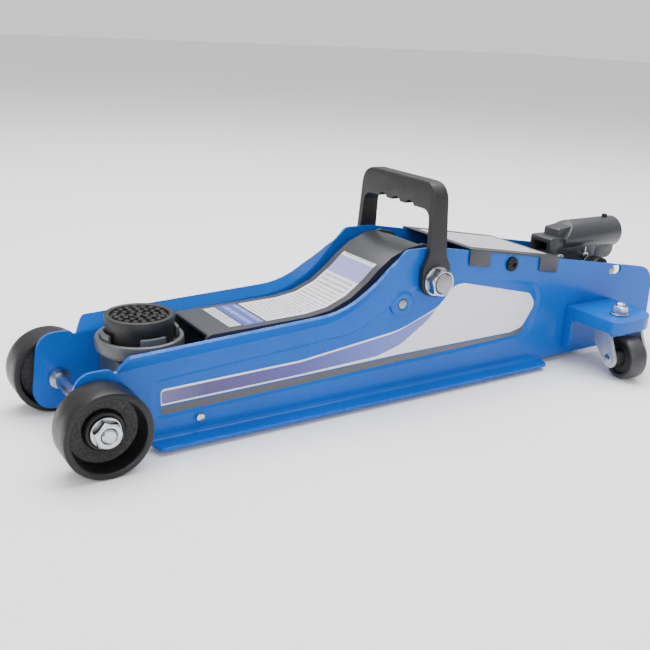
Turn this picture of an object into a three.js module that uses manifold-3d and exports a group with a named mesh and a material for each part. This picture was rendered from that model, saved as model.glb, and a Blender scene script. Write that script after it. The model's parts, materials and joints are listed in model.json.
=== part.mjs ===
// Low-profile hydraulic floor jack: two pressed side plates carry a lift arm, a hydraulic
// unit, two front wheels and two swivelling castors. Millimetres, +Z up.
// The layout is drawn with X = 0 at the front axle, +X towards the handle end and -Y on the
// left side. The whole group is shifted at the end so that the origin is the middle of the
// footprint, on the floor.
import * as THREE from 'three';
import { mergeVertices } from 'three/addons/utils/BufferGeometryUtils.js';
import Module from 'manifold-3d';

const wasm = await Module();
wasm.setup();

// ---------------------------------------------------------------- clearances
const FIT = 0.3;            // gap between pieces that touch
const RUN = 0.35;           // radial gap of a turning or sliding fit
const PASS = 30;            // how far a cutter runs past the faces that it cuts

// ---------------------------------------------------------------- frame
const frameLength = 556;    // front axle to the rear edge of the side plates
const frameHalf = 44;       // outer face of a side plate from the middle plane
const sheet = 2.5;          // side plate thickness
const shelfZ = 60;          // bend line of the top flange above the front ears
const humpZ = 122;          // highest point of the side plates
const humpX = 249;          // front corner of the hump
const humpLength = 27;      // the hump's level top
const rearTopZ = 77.2;      // top edge at the rear end
const bellyZ = 6.5;         // lower edge of the side plates
const topFlange = 13;       // width of the flared top flange at the front
const topFlangeNeck = 9;    // its width where the shelf turns up
const topFlangeTilt = 60;   // its angle above the horizontal, degrees
const bottomFlange = 14;    // width of the flat bottom flange
const bottomFlangeEnd = 406;
const panelDepth = 1.2;     // depth of the pressed panel in each side plate
const tieRadius = 3.2;
const frontTieAt = [74, 18];
const coverScrewRadius = 3;
const coverTieAt = [362, 100];
const rearTieAt = [536, 30];

// ---------------------------------------------------------------- wheels
const wheelRadius = 30;
const wheelWidth = 26;
const wheelGap = 2.2;       // side plate to the wheel's inner face
const rimThickness = 5;
const wheelHubRadius = 14;
const axleRadius = 5;
const nutHeight = 8;

const castorRadius = 19;
const castorWidth = 17;
const castorTrail = 17;   // stud axis to the castor's axle
const castorX = frameLength - 93;
const castorY = 83;
const castorTurn = 11.4;    // how far the castors are turned from straight outwards, degrees
const castorAxleRadius = 3;
const castorHubSide = 6.6;   // how far the hub stands out beside the tread
const forkSheet = 2.4;
const forkGap = 0.4;        // hub side to the fork leg

// ---------------------------------------------------------------- castor brackets
const platformSheet = 2.5;
const platformReach = 103;
const platformFront = 25.5; // stud axis to the front wall
const platformRear = 33;    // stud axis to the rear end
const skirtDepth = 11;
const platformTop = 2 * castorRadius + 4.5 + skirtDepth;   // 4.5 above the wheel
const wallFoot = 14;        // lower end of the front wall
const wallFootWidth = 8.5;
const studRadius = 4;

// ---------------------------------------------------------------- lift arm and saddle
const armPivot = [275, 96.6];
const armHalf = 30;
const armSheet = 3;
const armBossRadius = 25;
const headPinAt = [66, 44];
const armTopFront = 72;
const armWebFront = 88;
const pivotShaftRadius = 8;
const headPinRadius = 6;
const crankRadius = 52;
const liftAngle = 70;       // travel of the arm, degrees
const crankPinRadius = 6;
const rollerRadius = 11;
const linkAnchorAt = [248, 79];
const linkPinRadius = 4;
const linkBarSheet = 4;
const linkBarInner = armHalf + 3;
const saddleX = 48;
const saddleTop = 85;
const cupRadius = 31.6;
const cupTop = 70;
const cupHeight = 12;
const padRadius = 24.6;
const stemRadius = 8;
const headHalf = 23;

// ---------------------------------------------------------------- hydraulic unit
const ramRadius = 12;
const cylinderBore = ramRadius + 1;
const cylinderOuter = cylinderBore + 5;
const reservoirOuter = 30;
const reservoirWall = 2.5;
const capFront = 337;
const capLength = 8;
const blockFront = 411;
const blockRear = 503;
const blockHalf = 30;
const springOffset = 35.5;
const springRadius = 3.6;
const springWire = 0.8;
const plungerX = 487;
const plungerRadius = 6;
const plungerPinRadius = 3.5;
const cotterRadius = 1.1;
const releaseZ = 24;
const fillerX = 427;

// ---------------------------------------------------------------- handle socket, carry handle
const socketPivot = [452, 89];
const tubeOuter = 15;
const tubeWall = 3;
const tubeFrontX = 459;
const tubeEndX = 536;
const tubeAxisZ = 105.7;
const setScrewX = tubeEndX - 11;
const setScrewRadius = 2.6;
const socketHalf = 12.5;
const socketPinRadius = 4.5;
const cheek = 4;
const trunnionAt = [494, 80.5];
const trunnionRadius = 4;
const pumpSwing = 40;       // travel of the handle socket, degrees
const handleTop = 173.5;
const handleThickness = 4.8;
const handleGap = 1.8;
const handleLean = 2.6;     // how far the legs lean inwards at the grip
const handleEye = 13.5;     // radius of the handle's round ends
const gripHeight = 21.5;

// ---------------------------------------------------------------- worked-out places
const rad = THREE.MathUtils.degToRad;
const plateInner = frameHalf - sheet;
const axleZ = wheelRadius;
const wheelInner = frameHalf + wheelGap;
const wheelOuter = wheelInner + wheelWidth;
const crankLag = liftAngle / 2;
const crankAt = [
  armPivot[0] + crankRadius * Math.sin(rad(crankLag)),
  armPivot[1] - crankRadius * Math.cos(rad(crankLag)),
];
const crankLow = armPivot[1] - crankRadius;
const ramZ = (crankAt[1] + crankLow) / 2;
const linkOffset = [linkAnchorAt[0] - armPivot[0], linkAnchorAt[1] - armPivot[1]];
const linkPinAt = [headPinAt[0] + linkOffset[0], headPinAt[1] + linkOffset[1]];
const plungerPinAt = [plungerX, socketPivot[1]];
const platformUnder = platformTop - platformSheet;

// ================================================================ geometry helpers

function signedVolume(geometry) {
  const p = geometry.attributes.position;
  const index = geometry.index.array;
  const a = new THREE.Vector3();
  const b = new THREE.Vector3();
  const c = new THREE.Vector3();
  let sum = 0;
  for (let i = 0; i < index.length; i += 3) {
    a.fromBufferAttribute(p, index[i]);
    b.fromBufferAttribute(p, index[i + 1]);
    c.fromBufferAttribute(p, index[i + 2]);
    sum += a.dot(b.cross(c));
  }
  return sum / 6;
}

// A closed three.js geometry becomes a manifold solid with its faces pointing out.
function solid(geometry) {
  const bare = geometry.clone();
  bare.deleteAttribute('normal');
  bare.deleteAttribute('uv');
  const merged = mergeVertices(bare, 1e-4);
  const triVerts = Uint32Array.from(merged.index.array);
  if (signedVolume(merged) < 0) {
    for (let i = 0; i < triVerts.length; i += 3) {
      [triVerts[i], triVerts[i + 1]] = [triVerts[i + 1], triVerts[i]];
    }
  }
  const vertProperties = Float32Array.from(merged.attributes.position.array);
  return new wasm.Manifold(new wasm.Mesh({ numProp: 3, vertProperties, triVerts }));
}

function geometryOf(manifold) {
  const mesh = manifold.getMesh();
  const geometry = new THREE.BufferGeometry();
  geometry.setAttribute('position', new THREE.BufferAttribute(mesh.vertProperties, 3));
  geometry.setIndex(new THREE.BufferAttribute(mesh.triVerts, 1));
  geometry.computeVertexNormals();
  return geometry;
}

const join = (first, ...others) => others.reduce((sum, next) => sum.add(next), first);
const cut = (first, ...others) => others.reduce((rest, next) => rest.subtract(next), first);
const mirrored = (piece) => solid(geometryOf(piece).scale(1, -1, 1));

// An outline from corners [x, y, radius]: each corner with a radius becomes an arc. A fillet
// that its two edges have no room for is made as large as fits.
function outline(corners, arcSteps = 3) {
  const count = corners.length;
  const at = corners.map(([x, y]) => new THREE.Vector2(x, y));
  const edge = at.map((corner, i) => corner.distanceTo(at[(i + 1) % count]));
  const bend = corners.map(([, , radius = 0], i) => {
    const toLast = at[(i + count - 1) % count].clone().sub(at[i]).normalize();
    const toNext = at[(i + 1) % count].clone().sub(at[i]).normalize();
    const half = Math.acos(THREE.MathUtils.clamp(toLast.dot(toNext), -1, 1)) / 2;
    return { toLast, toNext, half, reach: radius / Math.tan(half) };
  });
  const share = (i, j, length) => length / Math.max(length, bend[i].reach + bend[j].reach);
  const points = [];
  at.forEach((corner, i) => {
    const before = (i + count - 1) % count;
    const after = (i + 1) % count;
    const room = Math.min(share(before, i, edge[before]), share(i, after, edge[i]));
    const { toLast, toNext, half } = bend[i];
    const reach = bend[i].reach * room * 0.999;
    if (reach < 0.2) {
      points.push(corner);
      return;
    }
    const middle = toLast.clone().add(toNext).normalize();
    const centre = corner.clone().addScaledVector(middle, reach / Math.cos(half));
    const from = corner.clone().addScaledVector(toLast, reach).sub(centre);
    const to = corner.clone().addScaledVector(toNext, reach).sub(centre);
    const turn = Math.atan2(from.cross(to), from.dot(to));
    for (let step = 0; step <= arcSteps; step += 1) {
      const spoke = from.clone().rotateAround(new THREE.Vector2(), (turn * step) / arcSteps);
      points.push(spoke.add(centre));
    }
  });
  return points;
}

const ring = (radius, count, [x, y] = [0, 0], start = 0) => Array.from({ length: count }, (_, i) => {
  const angle = start + (i / count) * 2 * Math.PI;
  return new THREE.Vector2(x + radius * Math.cos(angle), y + radius * Math.sin(angle));
});

const extrude = (points, depth) => new THREE.ExtrudeGeometry(
  new THREE.Shape(points), { depth, bevelEnabled: false, steps: 1 });

// Plates drawn in the side view (X, Z), the end view (Y, Z) and the top view (X, Y).
const plateXZ = (points, y0, y1) => solid(
  extrude(points, y1 - y0).rotateX(Math.PI / 2).translate(0, y1, 0));
const endView = new THREE.Matrix4().makeBasis(
  new THREE.Vector3(0, 1, 0), new THREE.Vector3(0, 0, 1), new THREE.Vector3(1, 0, 0));
const plateYZ = (points, x0, x1) => solid(
  extrude(points, x1 - x0).applyMatrix4(endView).translate(x0, 0, 0));
const plateXY = (points, z0, z1) => solid(extrude(points, z1 - z0).translate(0, 0, z0));

const box = (x0, x1, y0, y1, z0, z1) => solid(new THREE.BoxGeometry(x1 - x0, y1 - y0, z1 - z0)
  .translate((x0 + x1) / 2, (y0 + y1) / 2, (z0 + z1) / 2));

// Round bars along an axis. `at` holds the two coordinates across it, in X, Y, Z order.
const barX = (radius, x0, x1, at, sides = 16) => plateYZ(ring(radius, sides, at), x0, x1);
const barY = (radius, y0, y1, at, sides = 16) => plateXZ(ring(radius, sides, at), y0, y1);
const barZ = (radius, z0, z1, at, sides = 16) => plateXY(ring(radius, sides, at), z0, z1);

// Turned pieces from a closed profile of [radius, height] pairs.
const turned = (profile, sides) => new THREE.LatheGeometry(
  [...profile, profile[0]].map(([r, h]) => new THREE.Vector2(r, h)), sides);
const turnedZ = (profile, [x, y], sides = 32) => solid(
  turned(profile, sides).rotateX(Math.PI / 2).translate(x, y, 0));
const turnedX = (profile, [y, z], sides = 32, x = 0) => solid(
  turned(profile, sides).rotateZ(-Math.PI / 2).translate(x, y, z));
// Along Y the profile's heights run away from the middle plane; side is -1 left, 1 right.
const turnedY = (profile, side, [x, z], sides = 32) => solid(
  turned(profile, sides).scale(1, side, 1).translate(x, 0, z));

// A strip of sheet that follows a path in the side view and leans outwards from it.
function flange(path, widths, tilt, rootY) {
  const out = Math.cos(rad(tilt));
  const up = Math.sin(rad(tilt));
  const vertices = [];
  path.forEach((point, i) => {
    const before = path[Math.max(i - 1, 0)];
    const after = path[Math.min(i + 1, path.length - 1)];
    const along = after.clone().sub(before).normalize();
    const normal = new THREE.Vector2(-along.y, along.x);
    const place = (outwards, upwards) => vertices.push(
      point.x + normal.x * upwards, rootY - outwards, point.y + normal.y * upwards);
    place(-sheet, -sheet * 0.4);
    place(widths[i] * out, widths[i] * up);
    place(widths[i] * out - sheet * up, widths[i] * up + sheet * out);
    place(-sheet, sheet * 0.6);
  });
  const index = [0, 2, 1, 0, 3, 2];
  for (let i = 0; i < path.length - 1; i += 1) {
    for (let k = 0; k < 4; k += 1) {
      const a = i * 4 + k;
      const b = i * 4 + ((k + 1) % 4);
      index.push(a, b, b + 4, a, b + 4, a + 4);
    }
  }
  const last = (path.length - 1) * 4;
  index.push(last, last + 1, last + 2, last, last + 2, last + 3);
  const geometry = new THREE.BufferGeometry();
  geometry.setAttribute('position', new THREE.Float32BufferAttribute(vertices, 3));
  geometry.setIndex(index);
  return solid(geometry);
}

// A coil spring along X.
function coilX(x0, x1, turns, radius, wire, [y, z]) {
  class Helix extends THREE.Curve {
    getPoint(t, target = new THREE.Vector3()) {
      const angle = t * turns * 2 * Math.PI;
      return target.set(x0 + wire + t * (x1 - x0 - 2 * wire),
        y + radius * Math.cos(angle), z + radius * Math.sin(angle));
    }
  }
  const section = new THREE.Shape(ring(wire, 4));
  return solid(new THREE.ExtrudeGeometry(section,
    { extrudePath: new Helix(), steps: turns * 6, bevelEnabled: false }));
}

const hexagon = (across, at) => ring(across / Math.sqrt(3), 6, at, Math.PI / 6);

// ================================================================ materials

const finish = (color, roughness, metalness) => new THREE.MeshStandardMaterial(
  { color, roughness, metalness });
const bluePaint = finish(0x0a5cb8, 0.3, 0.2);
const greyPaint = finish(0x4b4d50, 0.45, 0.2);
const blackIron = finish(0x1e1e20, 0.7, 0.2);
const blackPlastic = finish(0x2a2b2d, 0.5, 0);
const rubber = finish(0x161616, 0.85, 0);
const zinc = finish(0xc9ccd0, 0.28, 0.95);
const steel = finish(0x8f9296, 0.35, 0.9);
const blackOxide = finish(0x1a1a1c, 0.4, 0.6);

const jack = new THREE.Group();
function add(name, material, piece) {
  const mesh = new THREE.Mesh(geometryOf(piece), material);
  mesh.name = name;
  jack.add(mesh);
}
const both = (make) => [[-1, 'left'], [1, 'right']].forEach(([side, name]) => make(side, name));
const onSide = (side, piece) => (side < 0 ? piece : mirrored(piece));

// ================================================================ side plates

const neckX = 205.6;        // corner where the shelf turns up into the hump
const neckZ = shelfZ + 12.3;
const neckBend = 85;
const shelfStart = 16;
const rearTopX = frameLength - 2.5;

function sidePlate() {
  const plate = plateXZ(outline([
    [-20, 4.5, 15],
    [-13, 64, 14],
    [11, 64, 5],
    [shelfStart - 2, shelfZ],
    [neckX, neckZ, neckBend],
    [humpX, humpZ, 6],
    [humpX + humpLength, humpZ, 30],
    [rearTopX, rearTopZ, 22],
    [frameLength, bellyZ, 12],
    [30, bellyZ, 10],
  ], 6), -frameHalf, -plateInner);

  const shelf = outline([
    [shelfStart, shelfZ],
    [neckX, neckZ, neckBend],
    [humpX - 3, humpZ - 4],
  ], 6);
  const { mapLinear, clamp } = THREE.MathUtils;
  const flangeWidth = (x) => Math.max(topFlangeNeck, mapLinear(x, shelfStart, neckX,
    topFlange, topFlangeNeck)) * clamp((humpX + 1 - x) / 30, 0.15, 1);
  const topEdge = flange(shelf, shelf.map((p) => flangeWidth(p.x)),
    topFlangeTilt, -frameHalf + sheet * 0.2);

  const bottomEdge = plateXY([
    [36, -plateInner], [42, -frameHalf - bottomFlange],
    [bottomFlangeEnd, -frameHalf - bottomFlange], [bottomFlangeEnd + 8, -plateInner],
  ].map(([x, y]) => new THREE.Vector2(x, y)), bellyZ, bellyZ + sheet);

  const panelOutline = (grow) => outline([
    [42 - grow, 23 - grow, 5],
    [42 - grow, 49 + grow, 5],
    [206, 60 + grow, 60],
    [262, 91 + grow, 30],
    [309, 93 + grow, 12],
    [404 + grow, 76 + grow, 16],
    [392 + grow, 33 - grow, 14],
  ]);
  const pocket = plateXZ(panelOutline(0), -frameHalf - PASS, -frameHalf + panelDepth);
  const backing = plateXZ(panelOutline(sheet), -plateInner - sheet / 2, -plateInner + panelDepth);

  const hole = (radius, at) => barY(radius, -frameHalf - PASS, -plateInner + PASS, at);
  const trunnionSlot = plateXZ(outline([
    [trunnionAt[0] - 4.6, trunnionAt[1] - 4.3, 4.2],
    [trunnionAt[0] + 12, trunnionAt[1] - 4.3, 4.2],
    [trunnionAt[0] + 12, trunnionAt[1] + 4.3, 4.2],
    [trunnionAt[0] - 4.6, trunnionAt[1] + 4.3, 4.2],
  ]), -frameHalf - PASS, -plateInner + PASS);
  const boss = barY(10.5, -frameHalf - 1.2, -frameHalf + sheet / 2, linkAnchorAt);

  return cut(join(plate, topEdge, bottomEdge, boss, backing), pocket, trunnionSlot,
    hole(axleRadius + FIT, [0, axleZ]),
    hole(pivotShaftRadius + FIT, armPivot),
    hole(linkPinRadius + FIT, linkAnchorAt),
    hole(tieRadius + FIT, frontTieAt),
    hole(coverScrewRadius + FIT, coverTieAt));
}

both((side, name) => add(`side_plate_${name}`, bluePaint, onSide(side, sidePlate())));

// ================================================================ castor brackets

const bracketFront = castorX - platformFront;
const bracketRear = castorX + platformRear;
const skirtZ = platformTop - skirtDepth;

function castorBracket() {
  const reach = platformReach;
  const root = frameHalf + FIT;
  const top = (inset) => outline([
    [bracketFront + inset, -root + (inset > 0 ? PASS : 0)],
    [bracketFront + inset, -reach + inset, 8 - inset],
    [bracketRear - inset, -reach + inset, 26 - inset],
    [bracketRear - inset, -root + (inset > 0 ? PASS : 0)],
  ], 6);
  const shell = plateXY(top(0), skirtZ, platformTop);
  const hollow = plateXY(top(platformSheet), skirtZ - PASS, platformUnder);
  const wall = plateYZ(outline([
    [-root, platformTop - 1], [-root, wallFoot], [-root - wallFootWidth, wallFoot + 1.5, 3],
    [-root - wallFootWidth, skirtZ + 0.5, 6], [-reach + 9, skirtZ + 0.5],
    [-reach + 9, platformTop - 1],
  ]), bracketFront, bracketFront + platformSheet);
  const rootWeld = box(bracketFront + 1, bracketRear - 1, -root - platformSheet, -root,
    skirtZ, platformTop - 1);
  const studHole = barZ(studRadius + FIT, platformUnder - PASS, platformTop + PASS,
    [castorX, -castorY]);
  return cut(join(cut(shell, hollow), wall, rootWeld), studHole);
}
both((side, name) => add(`castor_bracket_${name}`, bluePaint, onSide(side, castorBracket())));

// ================================================================ castors

const crownSheet = 2.2;
const crownTop = skirtZ - 0.4;
const forkInner = castorWidth / 2 + castorHubSide + forkGap;
const forkOuter = forkInner + forkSheet;
const castorAxleY = castorY + castorTrail;
const crownRadius = 15;

function castorStud() {
  const at = [castorX, -castorY];
  const underCrown = crownTop - crownSheet - FIT;
  return join(
    barZ(6.5, underCrown - 1.2, underCrown, at, 12),
    barZ(studRadius, underCrown - 1, platformTop + 11, at, 12),
    barZ(8.4, platformTop + FIT, platformTop + FIT + 1.4, at, 16),
    plateXY(hexagon(12.6, at), platformTop + FIT + 1.2, platformTop + FIT + 7.6));
}

function castorFork() {
  const at = [castorX, -castorY];
  const race = barZ(11, crownTop - 0.5, platformUnder - 0.5, at, 20);
  const crown = plateXY(outline([
    [castorX - forkOuter, -castorY + crownRadius, 11],
    [castorX + forkOuter, -castorY + crownRadius, 11],
    [castorX + forkOuter, -castorY - crownRadius + 3, 2],
    [castorX - forkOuter, -castorY - crownRadius + 3, 2],
  ], 5), crownTop - crownSheet, crownTop);
  const leg = outline([
    [-castorY + crownRadius - 9, crownTop - 0.4, 2],
    [-castorY - crownRadius + 3, crownTop - 0.4, 2],
    [-castorAxleY - 9.5, castorRadius - 2, 9],
    [-castorAxleY, castorRadius - 11, 8],
    [-castorAxleY + 9.5, castorRadius - 3, 8],
    [-castorY + crownRadius - 7, crownTop - 12, 6],
  ]);
  const legs = [-1, 1].map((s) => {
    const x = castorX + s * (forkInner + forkSheet / 2);
    return plateYZ(leg, x - forkSheet / 2, x + forkSheet / 2);
  });
  return cut(join(crown, race, ...legs),
    barZ(studRadius + RUN, 0, crownTop + PASS, at, 12),
    barX(castorAxleRadius + FIT, castorX - PASS, castorX + PASS, [-castorAxleY, castorRadius], 12));
}

function castorWheel() {
  const half = castorWidth / 2;
  const bore = castorAxleRadius + RUN;
  return turnedX([
    [bore, -half - castorHubSide], [7, -half - castorHubSide], [8, -half + 2],
    [castorRadius - 5, -half + 2], [castorRadius - 4, -half], [castorRadius - 1.6, -half],
    [castorRadius, -half + 2], [castorRadius, half - 2], [castorRadius - 1.6, half],
    [castorRadius - 4, half], [castorRadius - 5, half - 2], [8, half - 2],
    [7, half + castorHubSide], [bore, half + castorHubSide],
  ], [-castorAxleY, castorRadius], 20, castorX);
}

function castorAxle() {
  const at = [-castorAxleY, castorRadius];
  const end = forkOuter + FIT;
  return join(barX(castorAxleRadius, castorX - end - 1, castorX + end + 1, at, 12),
    barX(4.6, castorX - end - 1.8, castorX - end, at, 12),
    barX(4.6, castorX + end, castorX + end + 1.8, at, 12));
}

const turnedCastor = (piece) => solid(geometryOf(piece).translate(-castorX, castorY, 0)
  .rotateZ(-rad(castorTurn)).translate(castorX, -castorY, 0));
both((side, name) => {
  add(`castor_stud_${name}`, zinc, onSide(side, castorStud()));
  add(`castor_fork_${name}`, zinc, onSide(side, turnedCastor(castorFork())));
  add(`castor_wheel_${name}`, rubber, onSide(side, turnedCastor(castorWheel())));
  add(`castor_axle_${name}`, zinc, onSide(side, turnedCastor(castorAxle())));
});

// ================================================================ front axle and wheels

const hubFace = wheelOuter - 9.5;
const nutAcross = 17;

both((side, name) => {
  const bore = axleRadius + RUN;
  const rim = wheelRadius - rimThickness;
  add(`front_wheel_${name}`, blackIron, turnedY([
    [bore, wheelInner], [wheelHubRadius - 1, wheelInner], [wheelHubRadius, wheelInner + 7],
    [rim - 1.5, wheelInner + 7.5], [rim, wheelInner], [wheelRadius - 1, wheelInner],
    [wheelRadius, wheelInner + 1], [wheelRadius, wheelOuter - 1], [wheelRadius - 1, wheelOuter],
    [rim + 0.4, wheelOuter], [rim - 1, wheelInner + 11.5], [wheelHubRadius + 2.5, wheelInner + 11],
    [wheelHubRadius, hubFace], [bore, hubFace],
  ], side, [0, axleZ], 28));
  const nut = join(
    turnedY([[axleRadius + FIT, hubFace + FIT], [10.5, hubFace + FIT], [10.5, hubFace + 1.8],
      [axleRadius + FIT, hubFace + 1.8]], side, [0, axleZ], 28),
    cut(onSide(side, plateXZ(hexagon(nutAcross, [0, axleZ]), -hubFace - nutHeight, -hubFace - 1.5)),
      barY(axleRadius + FIT, -wheelOuter - PASS, wheelOuter + PASS, [0, axleZ])));
  add(`wheel_nut_${name}`, zinc, nut);
});
add('front_axle', zinc, join(
  barY(axleRadius, -hubFace - nutHeight - 1.2, hubFace + nutHeight + 1.2, [0, axleZ]),
  barY(axleRadius + 2.5, -plateInner + FIT, -plateInner + 6, [0, axleZ]),
  barY(axleRadius + 2.5, plateInner - 6, plateInner - FIT, [0, axleZ])));

// ================================================================ tie rods

add('front_tie_rod', zinc, barY(tieRadius, -frameHalf - 3.2, frameHalf + 3.2, frontTieAt, 12));
add('rear_tie_rod', bluePaint, barY(6, -plateInner + FIT, plateInner - FIT, rearTieAt));

const tieBar = barY(5.5, -plateInner + FIT, plateInner - FIT, coverTieAt);
const screwDepth = 12;
const tapped = (side) => barY(coverScrewRadius + FIT,
  Math.min(side * (plateInner - screwDepth - 1), side * (plateInner + PASS)),
  Math.max(side * (plateInner - screwDepth - 1), side * (plateInner + PASS)), coverTieAt, 16);
add('cover_tie_rod', steel, cut(tieBar, tapped(-1), tapped(1)));
both((side, name) => {
  const headFrom = frameHalf + FIT;
  const head = cut(turnedY([
    [0, headFrom], [6.4, headFrom], [6, headFrom + 2], [4.4, headFrom + 3.4], [0, headFrom + 3.8],
  ], side, coverTieAt, 16),
  onSide(side, plateXZ(hexagon(4, coverTieAt), -headFrom - PASS, -headFrom - 1.4)));
  const shank = onSide(side, barY(coverScrewRadius, -headFrom - 0.5, -plateInner + screwDepth,
    coverTieAt, 16));
  add(`cover_screw_${name}`, blackOxide, join(head, shank));
});

// ================================================================ cover plate

const coverFront = 314;
const coverRear = 420;
const coverSheet = 1.5;
const topSlope = (rearTopZ - humpZ) / (rearTopX - humpX - humpLength);
const topEdgeZ = (x) => humpZ + topSlope * (x - humpX - humpLength);

function coverPlate() {
  const lift = FIT + 0.1;
  const reach = frameHalf + FIT + coverSheet;
  const side = (x, up) => new THREE.Vector2(x, topEdgeZ(x) + lift + up);
  const top = plateXZ([
    side(coverFront, 0), side(coverRear, 0), side(coverRear, coverSheet), side(coverFront, coverSheet),
  ], -reach, reach);
  const lip = plateXZ([
    side(coverRear - 2, coverSheet), side(coverRear, coverSheet), side(coverRear, -14),
    side(coverRear - 2, -14),
  ], -plateInner + 1.5, plateInner - 1.5);
  const tabs = [];
  [[coverFront - 1, coverFront + 22], [coverRear - 25, coverRear - 2]].forEach(([x0, x1]) => {
    [-1, 1].forEach((s) => {
      const drop = outline([[x0, topEdgeZ(x0) + lift + coverSheet], [x0, topEdgeZ(x0) - 12.5, 3],
        [x1, topEdgeZ(x1) - 12.5, 3], [x1, topEdgeZ(x1) + lift + coverSheet]], 3);
      tabs.push(s < 0 ? plateXZ(drop, -reach, -frameHalf - FIT) : plateXZ(drop, frameHalf + FIT, reach));
    });
  });
  return join(top, lip, ...tabs);
}
add('cover_plate', greyPaint, coverPlate());

// ================================================================ lift arm

const armTop = humpZ - 0.4;
const armNeck = [201.3, armTopFront + 3.4];
const armHump = [251, armTop];

function liftArm() {
  const profile = plateXZ(outline([
    [headPinAt[0] - 13, headPinAt[1] - 13, 12.5],
    [headPinAt[0] - 13, headPinAt[1] + 13, 12.5],
    [armWebFront - 6, headPinAt[1] + 14, 4],
    [armWebFront - 0.5, armTopFront, 5],
    [...armNeck, 80],
    [...armHump, 65],
    [armPivot[0] + armBossRadius, armTop, 24],
    [armPivot[0] + armBossRadius, armPivot[1] - 18, 10],
    [crankAt[0] + 12, crankAt[1] + 10, 8],
    [crankAt[0] + 12, crankAt[1] - 12, 11.5],
    [crankAt[0] - 12, crankAt[1] - 12, 11.5],
    [238, 66, 30],
    [120, 42, 40],
  ]), -armHalf, armHalf);
  const hollow = plateXZ(outline([
    [0, 0], [0, 200], [armWebFront, 200],
    [armWebFront, armTopFront - armSheet],
    [armNeck[0] + 1.2, armNeck[1] - armSheet, 83],
    [armHump[0] + 1.2, armHump[1] - armSheet, 62],
    [armPivot[0] - 4, armTop - armSheet],
    [armPivot[0] - 4, 200], [400, 200], [400, 0],
  ]), -armHalf + armSheet, armHalf - armSheet);
  const pivotTube = barY(armBossRadius - 2.5, -armHalf + 1, armHalf - 1, armPivot, 24);
  const through = (radius, at) => barY(radius, -armHalf - PASS, armHalf + PASS, at);
  return cut(join(cut(profile, hollow), pivotTube),
    through(pivotShaftRadius + RUN, armPivot),
    through(headPinRadius + RUN, headPinAt),
    through(crankPinRadius + RUN, crankAt));
}
add('lift_arm', greyPaint, liftArm());

const handleInner = frameHalf + handleGap;
const handleOuter = handleInner + handleThickness;
const pivotEnd = handleOuter + 11;
add('arm_pivot_shaft', steel, barY(pivotShaftRadius, -pivotEnd, pivotEnd, armPivot));
both((side, name) => {
  const from = handleOuter + FIT;
  const washer = onSide(side, barY(12, -from - 1.6, -from, armPivot));
  const nut = onSide(side, plateXZ(hexagon(20, armPivot), -from - 9.4, -from - 1.4));
  add(`pivot_nut_${name}`, zinc, cut(join(washer, nut),
    barY(pivotShaftRadius + FIT, -pivotEnd - PASS, pivotEnd + PASS, armPivot)));
});

const pinWithHeads = (radius, half, at, headRadius) => join(
  barY(radius, -half - 2, half + 2, at),
  barY(headRadius, -half - 2.4, -half - FIT, at),
  barY(headRadius, half + FIT, half + 2.4, at));
add('crank_pin', steel, pinWithHeads(crankPinRadius, armHalf, crankAt, 8.5));
add('head_pin', steel, pinWithHeads(headPinRadius, armHalf, headPinAt, 8.5));
add('crank_roller', steel, cut(barY(rollerRadius, -11, 11, crankAt, 20),
  barY(crankPinRadius + RUN, -PASS, PASS, crankAt)));

// ================================================================ saddle head, saddle and pad

const headTop = cupTop - cupHeight - FIT;
const stemBottom = linkPinAt[1] + linkPinRadius + 6;
const clipZ = headTop - 6;
const clipRadius = 1.2;
const grooveRadius = stemRadius - 1.8;
const clipX = saddleX - grooveRadius - clipRadius - 0.4;

function saddleHead() {
  const block = plateXZ(outline([
    [linkPinAt[0] - 13.5, linkPinAt[1] - 10, 9],
    [saddleX - 22.5, headTop, 3],
    [headPinAt[0] + 11, headTop, 3],
    [headPinAt[0] + 14, headPinAt[1] - 10, 8],
    [headPinAt[0] - 6, headPinAt[1] - 14, 6],
    [linkPinAt[0] + 13, linkPinAt[1] - 10, 6],
  ]), -headHalf, headHalf);
  const through = (radius, at) => barY(radius, -headHalf - PASS, headHalf + PASS, at, 12);
  return cut(block,
    barZ(stemRadius + RUN, stemBottom - 1, headTop + PASS, [saddleX, 0]),
    through(headPinRadius + FIT, headPinAt),
    through(linkPinRadius + FIT, linkPinAt),
    through(clipRadius + FIT, [clipX, clipZ]));
}
add('saddle_head', greyPaint, saddleHead());
add('saddle_clip', zinc, barY(clipRadius, -headHalf - 3, headHalf + 3, [clipX, clipZ], 12));

function saddle() {
  const floorZ = cupTop - 5;
  const cup = turnedZ([
    [0, stemBottom], [stemRadius, stemBottom], [stemRadius, clipZ - 2.2],
    [grooveRadius, clipZ - 2], [grooveRadius, clipZ + 2], [stemRadius, clipZ + 2.2],
    [stemRadius, cupTop - cupHeight], [cupRadius - 4, cupTop - cupHeight],
    [cupRadius, cupTop - cupHeight + 4], [cupRadius, cupTop - 1], [cupRadius - 1, cupTop],
    [cupRadius - 3, cupTop], [cupRadius - 3.6, floorZ], [0, floorZ],
  ], [saddleX, 0], 28);
  const lugInner = padRadius + 0.5;
  const lugOuter = cupRadius - 3.2;
  const lugSpread = 21;
  const arc = (radius, from, to) => Array.from({ length: 5 }, (_, i) => {
    const angle = rad(from + ((to - from) * i) / 4);
    return new THREE.Vector2(saddleX + radius * Math.cos(angle), radius * Math.sin(angle));
  });
  const lugs = [0, 90, 180, 270].map((middle) => plateXY([
    ...arc(lugOuter, middle - lugSpread, middle + lugSpread),
    ...arc(lugInner, middle + lugSpread, middle - lugSpread),
  ], floorZ - 1, cupTop + 4.5));
  return join(cup, ...lugs);
}
add('saddle', greyPaint, saddle());

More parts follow.
